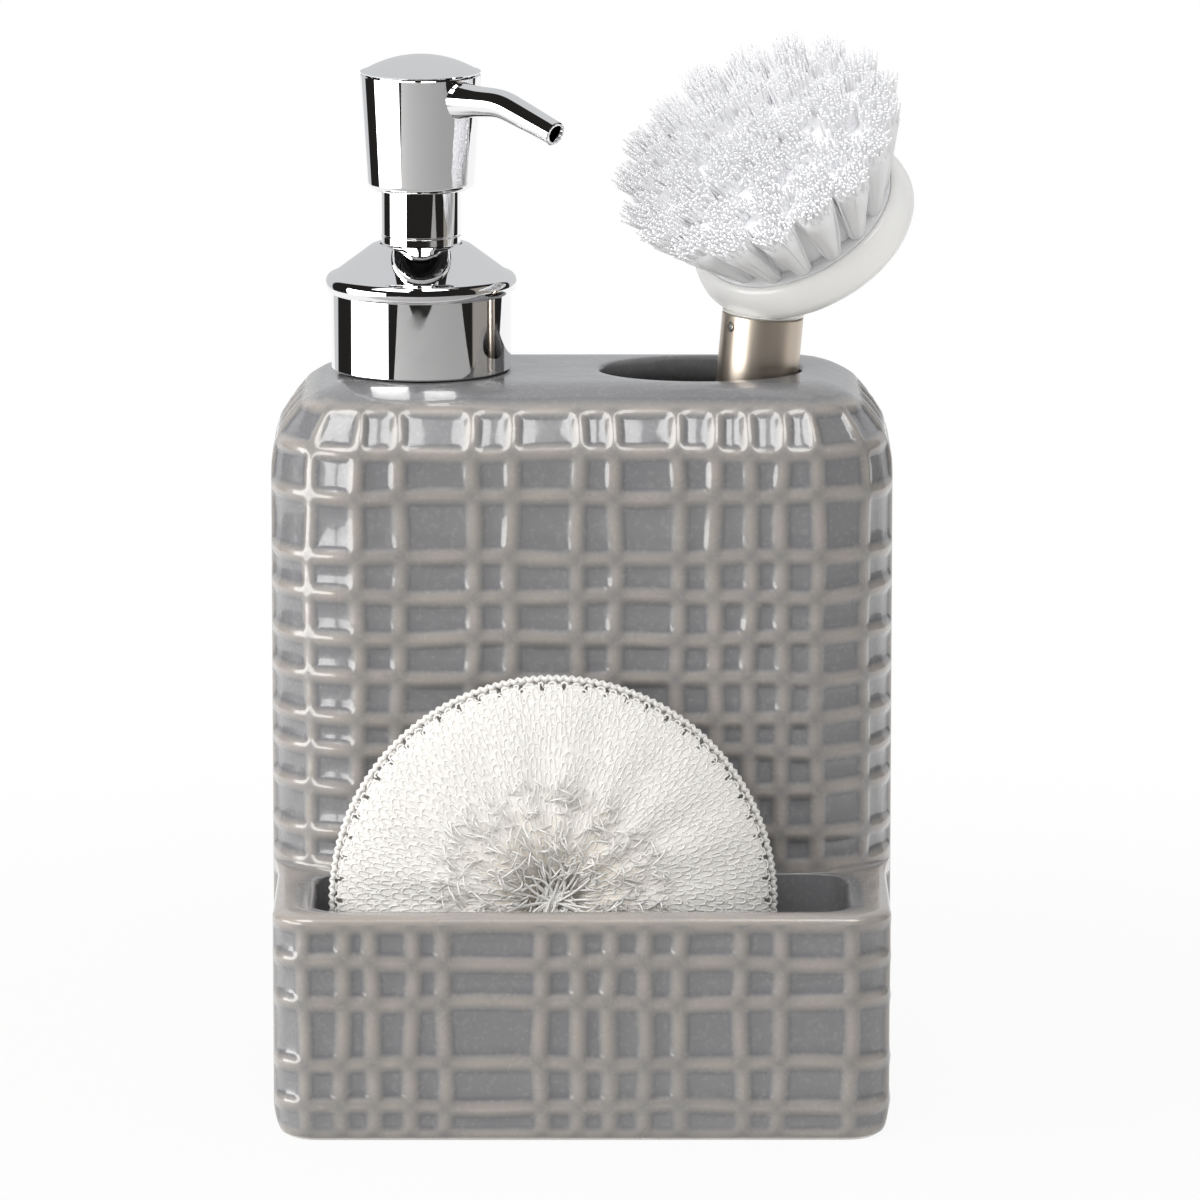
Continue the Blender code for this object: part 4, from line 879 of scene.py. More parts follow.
# %% The hollow of the pocket
def hollow_rows(bm):
    """Rings from the pocket's flat rim down its inner wall to the floor's edge."""
    low, high = (-HOLLOW_HALF, HOLLOW_FRONT), (HOLLOW_HALF, HOLLOW_REAR)
    places = box_places(low, high, HOLLOW_CORNER, HOLLOW_STEPS)
    count = len(places)
    outs = []
    for k in range(count):
        along = (places[(k + 1) % count] - places[k - 1]).normalized()
        outs.append(Vector((along.y, -along.x, 0)))
    rows = []
    for sine, cosine in QUARTER_TURN:
        row = []
        for place, out in zip(places, outs):
            edge = HOLLOW_EDGE + (HOLLOW_REAR_EDGE - HOLLOW_EDGE) * eased(out.y / 0.7)
            rise = Vector((0, 0, RIM - edge * (1 - cosine)))
            row.append(bm.verts.new(place + out * (edge * (1 - sine)) + rise))
        rows.append(row)
    for sine, cosine in QUARTER_TURN:
        reach = HOLLOW_FOOT * (1 - cosine)
        rise = Vector((0, 0, HOLLOW_FLOOR + HOLLOW_FOOT * (1 - sine)))
        rows.append([bm.verts.new(place - out * reach + rise) for place, out in zip(places, outs)])
    bridge_all(bm, rows)
    return rows


# %% The mouths and the cavities under them
def mouth_rows(bm, centre, half_x, half_y, count):
    """Rings from the domed top over a rounded lip and down to the ceiling of a cavity."""
    outer = ellipse_loop(bm, centre, half_x + LIP_ROUND, half_y + LIP_ROUND, top_height, count)
    rows = [outer]
    for sine, cosine in QUARTER_TURN[1:]:
        reach = LIP_ROUND * (1 - sine)
        row = ellipse_loop(bm, centre, half_x + reach, half_y + reach, 0, count)
        for vertex, start in zip(row, outer):
            vertex.co.z = start.co.z - LIP_ROUND * (1 - cosine)
        rows.append(row)
    rows.append(ellipse_loop(bm, centre, half_x, half_y, CEILING, count))
    bridge_all(bm, rows)
    return rows


def cavity_rows(bm, low_x, high_x, low_ease, high_ease):
    """Rings from a cavity's ceiling down to its floor; an eased side curves into the ceiling."""
    levels = []
    for sine, cosine in QUARTER_TURN:
        levels.append((CAVITY_EDGE * (1 - sine), CEILING - CAVITY_EDGE * (1 - cosine)))
    levels.append((0, CAVITY_FLOOR + CAVITY_EDGE / 2))
    levels.append((CAVITY_EDGE / 4, CAVITY_FLOOR + CAVITY_EDGE / 8))
    levels.append((CAVITY_EDGE / 2, CAVITY_FLOOR))
    rows = []
    for inset, height in levels:
        low = (low_x + inset * low_ease, CAVITY_LOW_Y + inset)
        high = (high_x - inset * high_ease, CAVITY_HIGH_Y - inset)
        places = box_places(low, high, CAVITY_EDGE - 0.6 * inset, CAVITY_STEPS)
        rows.append([bm.verts.new((place.x, place.y, height)) for place in places])
    bridge_all(bm, rows)
    return rows


# %% Build the casting
def build_casting(material):
    """The whole casting as one closed skin."""
    bm = bmesh.new()
    layer = bm.verts.layers.float.new("bare_ribs")
    low, high, shared = build_walls(bm, layer)
    hollow = hollow_rows(bm)
    shelf = joined([column[-1] for column in low], [column[0] for column in reversed(high)])
    fill(bm, shelf, [hollow[0]], lambda x, y: RIM)
    fill(bm, hollow[-1], [], lambda x, y: HOLLOW_FLOOR)
    foot = joined([column[0] for column in low], [column[0] for column in shared])
    fill(bm, foot, [], lambda x, y: 0)
    mouth = mouth_rows(bm, MOUTH, MOUTH_RADIUS, MOUTH_RADIUS, 64)
    well = mouth_rows(bm, WELL, WELL_HALF_X, WELL_HALF_Y, 128)
    crown = joined([column[-1] for column in high], [column[-1] for column in shared])
    fill(bm, crown, [mouth[0], well[0]], top_height, TOP_SPACING)
    reservoir = cavity_rows(bm, -CAVITY_REACH, DIVIDER_LEFT, 1, 0)
    brush_well = cavity_rows(bm, DIVIDER_RIGHT, CAVITY_REACH, 0, 1)
    fill(bm, reservoir[0], [mouth[-1]], lambda x, y: CEILING)
    fill(bm, brush_well[0], [well[-1]], lambda x, y: CEILING)
    fill(bm, reservoir[-1], [], lambda x, y: CAVITY_FLOOR)
    fill(bm, brush_well[-1], [], lambda x, y: CAVITY_FLOOR)
    bmesh.ops.remove_doubles(bm, verts=bm.verts, dist=2e-7)
    open_edges = sum(1 for edge in bm.edges if len(edge.link_faces) != 2)
    print("casting: edges without two faces", open_edges)
    piece_from(bm, "casting", "ceramic", "glaze", material, ["ceramic_body"], None)


# %% [markdown]
# ## The glaze
# A glaze is glass over clay. It runs thin on the raised ribs, where the warm clay shows through,
# and pools thick and cool in the panels, darkest along their edges. The relief number on the mesh
# drives a colour ramp, and soft noise shifts it, as an even grey would look like plastic. The foot
# is wiped clean before firing, so a thin line of pale clay shows where the casting stands.

# %% Glaze finish
RIB_TONE = tone(157, 150, 144)
THIN_TONE = tone(138, 135, 132)
PANEL_TONE = tone(122, 122, 124)
POOL_TONE = tone(112, 112, 115)
CLOUD_TONE = tone(131, 130, 129)
SPECK_TONE = tone(198, 194, 188)
CLAY_TONE = tone(226, 219, 210)
CLOUD_SCALE = 45
CLOUD_SHARE = 0.35
SPECK_SCALE = 900
SPECK_SHARE = 0.08
STREAK_SCALE = 60
STREAK_SHIFT = 0.30
RIPPLE_SCALE = 140
FOOT_LINE = 0.0006

glaze, board, shader = new_finish("glaze", ior=1.5, coat_weight=0.7, coat_roughness=0.03)
bare = board.node("ShaderNodeAttribute", {"attribute_name": "bare_ribs"}, out="Fac")
clouds = board.noise(CLOUD_SCALE, 3.0)
specks = board.noise(SPECK_SCALE, 1.0)
streaks = board.noise(STREAK_SCALE, 2.0, (1, 1, 0.25))
stops = ((0.0, PANEL_TONE), (0.16, POOL_TONE), (0.52, THIN_TONE), (0.95, RIB_TONE))
thinness = bare + (streaks - 0.5) * STREAK_SHIFT
ramp = board.node("ShaderNodeValToRGB", {"stops": stops}, {"Fac": thinness}, out="Color")
clouded = board.mix(clouds.above(0.58, 0.16) * CLOUD_SHARE, ramp, CLOUD_TONE)
mottled = board.mix(specks.above(0.62, 0.10) * SPECK_SHARE, clouded, SPECK_TONE)
level = board.part(board.place(), "Z")
footed = board.mix(level.above(FOOT_LINE, 0.00015), CLAY_TONE, mottled)
ripples = board.noise(RIPPLE_SCALE, 2.0)
dress(board, shader, footed, 0.22 + clouds * 0.10, ripples, 0.0003)

build_casting(glaze)

# %% [markdown]
# ## The chrome pump
# The collar, sleeve and head are pressed and plated parts. Chrome has no colour of its own: it is
# a mirror, so its look comes from a crisp outline with small roundings and from what stands round
# it. Each part is turned on its axis from an outline.

# %% Pump axis and heights
PUMP_AXIS = Matrix.Translation((MOUTH[0], MOUTH[1], 0))
METAL_SIDES = 128
EDGE = 0.00035
SKIRT_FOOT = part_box("collar_shroud")[0][2]
COLLAR_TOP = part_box("collar_shroud")[1][2]
SLEEVE_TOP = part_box("stem_sleeve")[1][2]
SLEEVE_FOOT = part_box("stem_sleeve")[0][2]
HEAD_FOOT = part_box("head_shell")[0][2]
HEAD_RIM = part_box("head_shell")[1][2]
CAP_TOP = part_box("head_cap")[1][2]
CAP_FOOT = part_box("head_cap")[0][2]

chrome, board, shader = new_finish("chrome", metallic=1.0, base_color=(0.90, 0.90, 0.91))
smears = board.noise(160, 2.0)
board.feed(shader.inputs["Roughness"], 0.015 + smears.above(0.62, 0.10) * 0.03)


def arc_points(centre, radii, start, end, steps):
    """Points (radius, height) on part of an ellipse, from one angle to another in degrees."""
    points = []
    for k in range(steps + 1):
        angle = math.radians(start + (end - start) * k / steps)
        radius = centre[0] + radii[0] * math.cos(angle)
        points.append((radius, centre[1] + radii[1] * math.sin(angle)))
    return points


# %% Collar: skirt, half-round bead, cone and lip
SKIRT_RADIUS = 0.0202
SHEET = 0.0008
BEAD_HEIGHT = 0.1786
BEAD_BULGE = 0.00125
BEAD_HALF = 0.0020
CONE_TOP_RADIUS = 0.0112
LIP_RISE = 0.0006
SLEEVE_RADIUS = 0.0089
RUNNING_GAP = 0.0003

inner = SKIRT_RADIUS - SHEET
hole = SLEEVE_RADIUS + RUNNING_GAP
cone_foot = BEAD_HEIGHT + BEAD_HALF
lip_foot = COLLAR_TOP - LIP_RISE
cone = (
    (inner, cone_foot + EDGE), (CONE_TOP_RADIUS, lip_foot), (hole + EDGE, COLLAR_TOP),
    (hole, COLLAR_TOP - EDGE), (hole, COLLAR_TOP - SHEET), (CONE_TOP_RADIUS, lip_foot - SHEET),
    (inner, cone_foot - SHEET))
foot_edge = (
    (inner, SKIRT_FOOT), (SKIRT_RADIUS - EDGE, SKIRT_FOOT), (SKIRT_RADIUS, SKIRT_FOOT + EDGE))
bead = arc_points((SKIRT_RADIUS, BEAD_HEIGHT), (BEAD_BULGE, BEAD_HALF), -90, 90, 14)
collar_outline = list(foot_edge) + bead + list(cone)
about = "collar", "collar", "chrome", chrome, ["collar_shroud"]
turned_piece(collar_outline, METAL_SIDES, PUMP_AXIS, *about)

# %% Sleeve: the tower that the head slides over, with one fine groove
GROOVE_RISE = 0.0016
GROOVE_WIDTH = 0.0004
GROOVE_DEPTH = 0.0003
bore = SLEEVE_RADIUS - SHEET
flange_top = COLLAR_TOP - LIP_RISE - SHEET - RUNNING_GAP
flange_foot = flange_top - 0.001
flange = CONE_TOP_RADIUS - RUNNING_GAP
groove = COLLAR_TOP + GROOVE_RISE
sleeve_outline = (
    (bore, SLEEVE_FOOT), (SLEEVE_RADIUS, SLEEVE_FOOT), (SLEEVE_RADIUS, flange_foot),
    (flange, flange_foot), (flange, flange_top), (SLEEVE_RADIUS, flange_top),
    (SLEEVE_RADIUS, groove), (SLEEVE_RADIUS - GROOVE_DEPTH, groove + GROOVE_WIDTH / 2),
    (SLEEVE_RADIUS, groove + GROOVE_WIDTH), (SLEEVE_RADIUS, SLEEVE_TOP), (bore, SLEEVE_TOP))
about = "sleeve", "collar", "chrome", chrome, ["stem_sleeve"]
turned_piece(rounded(sleeve_outline, 0.0001), METAL_SIDES, PUMP_AXIS, *about)

# %% [markdown]
# ## The pump head
# The head is a cup that widens upwards, with a domed cap pressed into its top and a thin spout that
# leaves it just under the cap, runs level, and bends down at its end. The spout is swept along a
# curve with a changing radius and joined to the cup with a Boolean, so that the two are one skin.

# %% Head cup
HEAD_FOOT_RADIUS = 0.01205
HEAD_RIM_RADIUS = 0.0135
HEAD_WALL = 0.0013
SPOUT_TURN = math.radians(-45)
SPOUT_REACH = 0.0426
SPOUT_HEIGHT = HEAD_RIM - 0.0047
SPOUT_ROOT = 0.0036
SPOUT_TIP = 0.00275
SPOUT_BORE = 0.0018
SPOUT_FLARE = 0.0007
FLARE_SHARE = 0.25
SPOUT_STEPS = 40
BEND_START = 0.022
BEND_LENGTH = 0.008
SPOUT_RISE = math.radians(2)
SPOUT_FALL = math.radians(17)


def cup_radius(height):
    """Outer radius of the head's cup at a height."""
    share = (height - HEAD_FOOT) / (HEAD_RIM - HEAD_FOOT)
    return HEAD_FOOT_RADIUS + (HEAD_RIM_RADIUS - HEAD_FOOT_RADIUS) * share


def spout_points(start, end, steps):
    """Points along the middle of the spout."""
    points = []
    height = SPOUT_HEIGHT
    last = start
    for i in range(steps + 1):
        reach = start + (end - start) * i / steps
        bend = eased(((reach + last) / 2 - BEND_START) / BEND_LENGTH)
        height += (reach - last) * math.tan(SPOUT_RISE * (1 - bend) - SPOUT_FALL * bend)
        last = reach
        points.append(PUMP_AXIS @ round_axis(reach, SPOUT_TURN, height))
    return points


# %% Head shell: cup and spout in one skin
def cut_or_join(piece, bm, operation):
    """Applies a Boolean between a piece and a loose mesh, and smooths the piece again."""
    bmesh.ops.recalc_face_normals(bm, faces=bm.faces)
    tool = new_object(bm, "tool")
    modifier = piece.modifiers.new("joined", "BOOLEAN")
    modifier.operation = operation
    modifier.object = tool
    modifier.solver = "EXACT"
    depsgraph = bpy.context.evaluated_depsgraph_get()
    result = bpy.data.meshes.new_from_object(piece.evaluated_get(depsgraph))
    piece.modifiers.remove(modifier)
    old = piece.data
    piece.data = result
    bpy.data.meshes.remove(old)
    bpy.data.objects.remove(tool)
    result.shade_smooth()
    result.set_sharp_from_angle(angle=SHARP_ANGLE)
    print(piece.name, "has", len(result.polygons), "faces now")


cup =arc_points((HEAD_FOOT_RADIUS - 0.0015, HEAD_FOOT + 0.0015), (0.0015, 0.0015), -90, 3, 8)
cup += [
    (HEAD_RIM_RADIUS - 0.00006, HEAD_RIM - 0.0002), (HEAD_RIM_RADIUS - 0.0002, HEAD_RIM),
    (HEAD_RIM_RADIUS - HEAD_WALL, HEAD_RIM), (HEAD_FOOT_RADIUS - HEAD_WALL, HEAD_FOOT + 0.0003),
    (HEAD_FOOT_RADIUS - HEAD_WALL + 0.0001, HEAD_FOOT)]
about = "pump_head", "head", "chrome", chrome, ["head_shell"]
pump_head = turned_piece(cup, METAL_SIDES, PUMP_AXIS, *about)

root = cup_radius(SPOUT_HEIGHT) - HEAD_WALL / 2
path = spout_points(root, SPOUT_REACH, SPOUT_STEPS)
radii = []
for k in range(SPOUT_STEPS + 1):
    share = k / SPOUT_STEPS
    flare = SPOUT_FLARE * max(0, 1 - share / FLARE_SHARE) ** 2
    radii.append(SPOUT_ROOT + (SPOUT_TIP - SPOUT_ROOT) * share + flare)
end = (path[-1] - path[-2]).normalized()
path += [path[-1] + end * 0.00025]
radii += [SPOUT_TIP - 0.00028]
bm = bmesh.new()
swept(bm, path, radii, 48)
cut_or_join(pump_head, bm, "UNION")

bore_path = spout_points(cup_radius(SPOUT_HEIGHT) - 2 * HEAD_WALL, SPOUT_REACH - 0.0002, 30)
bore_radii = [SPOUT_BORE] * len(bore_path) + [SPOUT_BORE + 0.0002, SPOUT_BORE + 0.0003]
bore_end = (bore_path[-1] - bore_path[-2]).normalized()
bore_path += [bore_path[-1] + bore_end * 0.0003, bore_path[-1] + bore_end * 0.002]
bm = bmesh.new()
swept(bm, bore_path, bore_radii, 32)
cut_or_join(pump_head, bm, "DIFFERENCE")

# %% Domed cap with its crisp seam
DOME_STEPS = 24

dome_foot = HEAD_RIM + RUNNING_GAP
dome = CAP_TOP - dome_foot
sphere = (HEAD_RIM_RADIUS ** 2 + dome ** 2) / (2 * dome)
plug = HEAD_RIM_RADIUS - HEAD_WALL - 2 * RUNNING_GAP
edge = HEAD_RIM_RADIUS - 0.0002
cap_outline = [(0, CAP_FOOT), (plug, CAP_FOOT), (plug, dome_foot), (edge, dome_foot)]
cap_outline += [(HEAD_RIM_RADIUS, dome_foot + 0.0003)]
for k in range(1, DOME_STEPS):
    radius = edge * (1 - k / DOME_STEPS)
    height = dome_foot + math.sqrt(sphere ** 2 - radius ** 2) - (sphere - dome)
    cap_outline.append((radius, height))
cap_outline.append((0, CAP_TOP))
turned_piece(cap_outline, METAL_SIDES, PUMP_AXIS, "cap", "head", "chrome", chrome, ["head_cap"])

# %% [markdown]
# ## The parts inside the pump
# The stopper, the screw cap, the valve and the stem are hidden until the pump is pulled out. Their
# solids already have the right shape, so they stay and only get finishes. Moulded plastic is never
# one flat colour: its tone drifts a little, and its skin has a faint orange-peel texture.

# %% Finishes of moulded, rubber and steel parts
def moulded(name, first, second, roughness, **constants):
    """A moulded finish between two near tones with a faint peel."""
    material, board, shader = new_finish(name, **constants)
    drift = board.noise(70, 2.0)
    uneven = roughness + (drift - 0.5) * 0.12
    peel = board.noise(2600, 1.0)
    dress(board, shader, board.mix(drift, first, second), uneven, peel, 0.00002)
    return material


white_plastic = moulded("white_plastic", tone(228, 228, 226), tone(240, 240, 238), 0.28, ior=1.49)
natural_plastic = moulded(
    "natural_plastic", tone(212, 214, 210), tone(228, 229, 226), 0.38, ior=1.5)
rubber = moulded("rubber", tone(92, 92, 93), tone(108, 108, 108), 0.62)
steel = moulded("steel", tone(196, 194, 190), tone(214, 212, 208), 0.20, metallic=1.0)

KEPT_PARTS = {
    "neck_adapter": natural_plastic, "seat_gasket": rubber, "threaded_closure": white_plastic,
    "pump_housing": natural_plastic, "closure_gasket": rubber, "housing_cap": white_plastic,
    "dip_tube": natural_plastic, "inlet_ball": steel, "piston_stem": white_plastic,
    "piston_seal": white_plastic, "outlet_ball": steel, "head_insert": white_plastic,
    "handle_end_plug": white_plastic}
for name, finish in KEPT_PARTS.items():
    for material_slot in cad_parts[name].material_slots:
        material_slot.material = finish
print(len(KEPT_PARTS), "hidden parts keep their solids")

# %% [markdown]
# ## The return spring
# A spring is one wire wound into a helix. Its last curls lie closer, so that it stands square on
# its seat. It shortens as the pump is pressed.

# %% Return spring
WIRE = 0.0004
COIL_RADIUS = 0.0044
CURLS = 8
CURL_STEPS = 28
SPRING_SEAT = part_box("return_spring")[0][2] + WIRE
SPRING_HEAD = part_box("return_spring")[1][2] - WIRE
PRESS_STROKE = 0.012
END_CLOSING = 0.05

coil = []
for k in range(CURLS * CURL_STEPS + 1):
    share = k / (CURLS * CURL_STEPS)
    raised = share - END_CLOSING * math.sin(2 * math.pi * share)
    height = SPRING_SEAT + (SPRING_HEAD - SPRING_SEAT) * raised
    coil.append(PUMP_AXIS @ round_axis(COIL_RADIUS, 2 * math.pi * CURLS * share, height))
bm = bmesh.new()
swept(bm, coil, WIRE, 10)
spring = piece_from(bm, "spring", "pump_frame", "steel", steel, ["return_spring"])
seat = SPRING_SEAT - WIRE
rest_length = SPRING_HEAD + WIRE - seat
(rest_length - PRESS_STROKE) / rest_length
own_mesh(spring)
print("spring", round(rest_length * 1000, 2), "mm long at rest")

# %% [markdown]
# ## The dish brush
# The brush stands in its well: a steel tube, and a white moulded plate set at a slant on a short
# boss. Everything on it is built in the brush's own leaning frame, so that its numbers stay simple.

# %% Brush frame
BRUSH_LEAN = math.radians(5.1)
TUBE_RADIUS = 0.00915
TUBE_WALL = 0.0006
TUBE_FOOT = 0.0028
TUBE_SHOWING = 0.0123
FOOT_FROM_RIGHT = 0.0435

foot_height = CAVITY_FLOOR + RUNNING_GAP + TUBE_RADIUS * math.sin(BRUSH_LEAN)
brush_foot = Vector((BLOCK_WIDTH / 2 - FOOT_FROM_RIGHT, BLOCK_MIDDLE, foot_height))
BRUSH_AXIS = Matrix.Translation(brush_foot) @ Matrix.Rotation(BRUSH_LEAN, 4, "Y")
TUBE_TOP = (TOP - foot_height) / math.cos(BRUSH_LEAN) + TUBE_SHOWING
print("tube", round(TUBE_TOP - TUBE_FOOT, 4), "m long")

# %% Brushed steel finish
brushed, board, shader = new_finish("brushed_steel", metallic=1.0)
strokes = board.noise(420, 3.0, (1, 1, 0.03))
patches = board.noise(90, 2.0)
steel_tone = board.mix(strokes, tone(206, 192, 176), tone(232, 220, 206))
uneven = 0.26 + strokes * 0.14 + patches * 0.06
dress(board, shader, steel_tone, uneven, strokes, 0.00002)

# %% Tube and rivet
RIVET_RADIUS = 0.0009
RIVET_DROP = 0.0026
RIVET_TURN = math.radians(219)
RIVET_DEPTH = 0.006
RIVET_PROUD = 0.0002
RIVET_LOW = TUBE_RADIUS - RIVET_DEPTH
RIVET_HIGH = TUBE_RADIUS + RIVET_PROUD
RIVET_HOLE = RIVET_RADIUS + 0.00022
RIVET_SIDES = 32

bore = TUBE_RADIUS - TUBE_WALL
tube_outline = (
    (bore, TUBE_FOOT), (TUBE_RADIUS, TUBE_FOOT), (TUBE_RADIUS, TUBE_TOP), (bore, TUBE_TOP))
about = "handle_tube", "brush", "brushed_steel", brushed, ["brush_handle"]
tube = turned_piece(rounded(tube_outline, 0.00015), METAL_SIDES, BRUSH_AXIS, *about)

facing = round_axis(1, RIVET_TURN).to_track_quat("Z", "Y").to_matrix().to_4x4()
RIVET_AXIS = BRUSH_AXIS @ Matrix.Translation((0, 0, TUBE_TOP - RIVET_DROP)) @ facing
rivet_outline = (
    (0, RIVET_LOW), (RIVET_RADIUS, RIVET_LOW), (RIVET_RADIUS, RIVET_HIGH - RIVET_PROUD),
    (RIVET_RADIUS * 0.9, RIVET_HIGH - RIVET_PROUD * 0.35), (RIVET_RADIUS * 0.55, RIVET_HIGH),
    (0, RIVET_HIGH))
about = "rivet", "brush", "steel", steel, ["neck_rivet"]
turned_piece(rivet_outline, RIVET_SIDES, RIVET_AXIS, *about)


def drill(piece):
    """Cuts the rivet's hole into a piece."""
    low = RIVET_LOW - 0.001
    high = RIVET_HIGH + 0.004
    outline = ((0, low), (RIVET_HOLE, low), (RIVET_HOLE, high), (0, high))
    bm = bmesh.new()
    turned(bm, outline, RIVET_SIDES, RIVET_AXIS)
    cut_or_join(piece, bm, "DIFFERENCE")


drill(tube)

# %% Brush plate: turned, with a boss that grows out of it in a soft fillet
PLATE_TILT = math.radians(43.2)
PLATE_TURN = math.radians(-132.8)
PLATE_RADIUS = 0.0262
PLATE_CROWN = 0.0062
PLATE_UNDER = 0.0036
PLATE_UNDER_ROUND = 0.0035
PLATE_BELLY = 0.0006
BELLY_STEPS = 12
PLATE_SIDES = 160
RECESS = 0.0233
BACKING = 0.0010
NECK_RISE = 0.0312
SETBACK = 0.0171
SPIGOT_LENGTH = 0.018

normal = round_axis(math.sin(PLATE_TILT), PLATE_TURN, math.cos(PLATE_TILT))
plate_centre = Vector((0, 0, TUBE_TOP + NECK_RISE)) - normal * SETBACK
tilt = Vector((0, 0, 1)).rotation_difference(normal).to_matrix().to_4x4()
PLATE_AXIS = BRUSH_AXIS @ Matrix.Translation(plate_centre) @ tilt

recess_floor = PLATE_CROWN - BACKING - RUNNING_GAP
lip = RECESS + 2 * RUNNING_GAP
plate_outline = [(0, recess_floor), (RECESS, recess_floor)]
plate_outline += [(RECESS, PLATE_CROWN - 0.0003), (RECESS + 0.0003, PLATE_CROWN)]
plate_outline += arc_points((lip, 0), (PLATE_RADIUS - lip, PLATE_CROWN), 88, 0, 14)
under = PLATE_RADIUS - PLATE_UNDER_ROUND
plate_outline += arc_points((under, 0), (PLATE_UNDER_ROUND, PLATE_UNDER), 0, -90, 10)[1:]
for k in range(1, BELLY_STEPS + 1):
    share = 1 - k / BELLY_STEPS
    plate_outline.append((under * share, -PLATE_UNDER - PLATE_BELLY * (1 - share ** 2)))
plate_white = moulded(
    "plate_white", tone(246, 245, 241), tone(252, 251, 248), 0.24, ior=1.49, subsurface_weight=0.5,
    subsurface_radius=(1, 1, 1), subsurface_scale=0.004)
about = "brush_plate", "brush", "white_plastic", plate_white, ["brush_head"]
plate = turned_piece(plate_outline, PLATE_SIDES, PLATE_AXIS, *about)

# %% Boss and spigot
BOSS_SIDES = 96
BOSS_FILLET = 0.0022
BOSS_SINK = 0.0008
BOSS_MARGIN = 0.0016
BOSS_STEP = 0.0001
BOSS_ROWS = 8
SEAM = 0.0002
SEARCH_FROM = 0.02
SEARCH_STEPS = 16
SEARCH_PACE = 0.8


def plate_underside(angle, reach):
    """Height of the plate's underside over a place round the tube, and its radius on the plate.

    The place is known from above, so its height is searched for by closing in on it."""
    place = round_axis(reach, angle, plate_centre.z - SEARCH_FROM)
    height = plate_centre.z - SEARCH_FROM
    for _ in range(SEARCH_STEPS):
        local = tilt.inverted() @ (Vector((place.x, place.y, height)) - plate_centre)
        radius = math.hypot(local.x, local.y)
        share = min(1, radius / under)
        level = -PLATE_UNDER - PLATE_BELLY * (1 - share ** 2)
        if radius > under:
            beyond = min(0.9, (radius - under) / PLATE_UNDER_ROUND)
            level = -PLATE_UNDER * math.sqrt(1 - beyond ** 2)
        height += (level - local.z) * SEARCH_PACE
    return height, radius


def boss_landing(angle):
    """How far out of the tube's line the boss meets the plate, kept inside the plate's rim."""
    outset = BOSS_FILLET
    height, radius = 0, PLATE_RADIUS
    while radius > PLATE_RADIUS - BOSS_MARGIN:
        height, radius = plate_underside(angle, TUBE_RADIUS + outset)
        outset -= BOSS_STEP
    return outset + BOSS_STEP, height


seam = TUBE_TOP + SEAM
spigot = -TUBE_WALL - RUNNING_GAP
spigot_rows = (
    (spigot, TUBE_TOP - SPIGOT_LENGTH), (spigot, seam), (-SEAM, seam), (0, seam + SEAM))
rings = [[] for _ in range(len(spigot_rows) + BOSS_ROWS + 2)]
for angle in full_turn(BOSS_SIDES):
    outset, land = boss_landing(angle)
    meet = plate_underside(angle, TUBE_RADIUS + min(0, outset))[0]
    start = max(seam + 0.0003, meet - BOSS_FILLET * 1.2)
    column = list(spigot_rows)
    for k in range(BOSS_ROWS + 1):
        share = k / BOSS_ROWS
        height = start * (1 - share) ** 2 + 2 * max(start, meet) * share * (1 - share)
        column.append((outset * share ** 2, height + max(start, land) * share ** 2))
    column.append((outset - SEAM, max(seam, land) + BOSS_SINK))
    for ring, (out, height) in zip(rings, column):
        ring.append(BRUSH_AXIS @ round_axis(TUBE_RADIUS + out, angle, height))
bm = bmesh.new()
rows = [[bm.verts.new(point) for point in ring] for ring in rings]
bridge_all(bm, rows)
bm.faces.new(reversed(rows[0]))
bm.faces.new(rows[-1])
cut_or_join(plate, bm, "UNION")
drill(plate)

# %% [markdown]
# ## The bristles
# Each hole in the plate holds a tuft, a folded bundle of stiff white filaments. They could be hair
# particles, but a real mesh can be exported and printed. Filaments start close together, spread a
# little towards their tips, bend slightly, and end at slightly different heights. Tufts are too
# dense to see into, so a solid heart stands in each of them, and one low body between them all.

# %% Bristle finish
bristle, board, shader = new_finish(
    "bristle", ior=1.5, subsurface_weight=0.2, subsurface_radius=(1, 1, 1), subsurface_scale=0.001)
strand = board.noise(900, 1.0)
strand_tone = board.mix(strand, tone(246, 246, 248), tone(252, 252, 253))
dress(board, shader, strand_tone, 0.35 + strand * 0.15, board.noise(3000, 1.0), 0.00002)

# %% Tufts and filaments
TUFT_RINGS = 3
TUFT_PITCH = 0.00687
TUFT_RADIUS = 0.00165
FILAMENTS = 84
FILAMENT_RADIUS = 0.00026
FILAMENT_SIDES = 4
FILAMENT_STEPS = 4
BRISTLE_LENGTH = 0.0233
BRISTLE_JITTER = 0.00049
TIP_DRIFT = 0.00025
BOW = 0.00015
FAN = 0.45
TUFT_FAN = 2.1
GOLDEN_TURN = math.radians(137.508)
HEART_FILL = 0.94
HEART_LENGTH = 0.87
HEART_STAGGER = 0.0024
HEART_SIDES = 14
HEART_STEPS = 4
HEART_CAP = 0.0004
HEART_CAP_WIDTH = 0.8
CROWD_ROOT = 0.0196
CROWD_LENGTH = 0.0175


def tuft_places():
    """Middle of each tuft: one in the centre and rings of six, twelve and eighteen round it."""
    places = [Vector((0, 0, 0))]
    for ring in range(1, TUFT_RINGS + 1):
        for k in range(6 * ring):
            angle = 2 * math.pi * (k + 0.5 * (ring % 2)) / (6 * ring)
            places.append(round_axis(TUFT_PITCH * ring, angle))
    return places


def scatter(generator, amount):
    """A random step aside."""
    return Vector((generator.gauss(0, amount), generator.gauss(0, amount), 0))


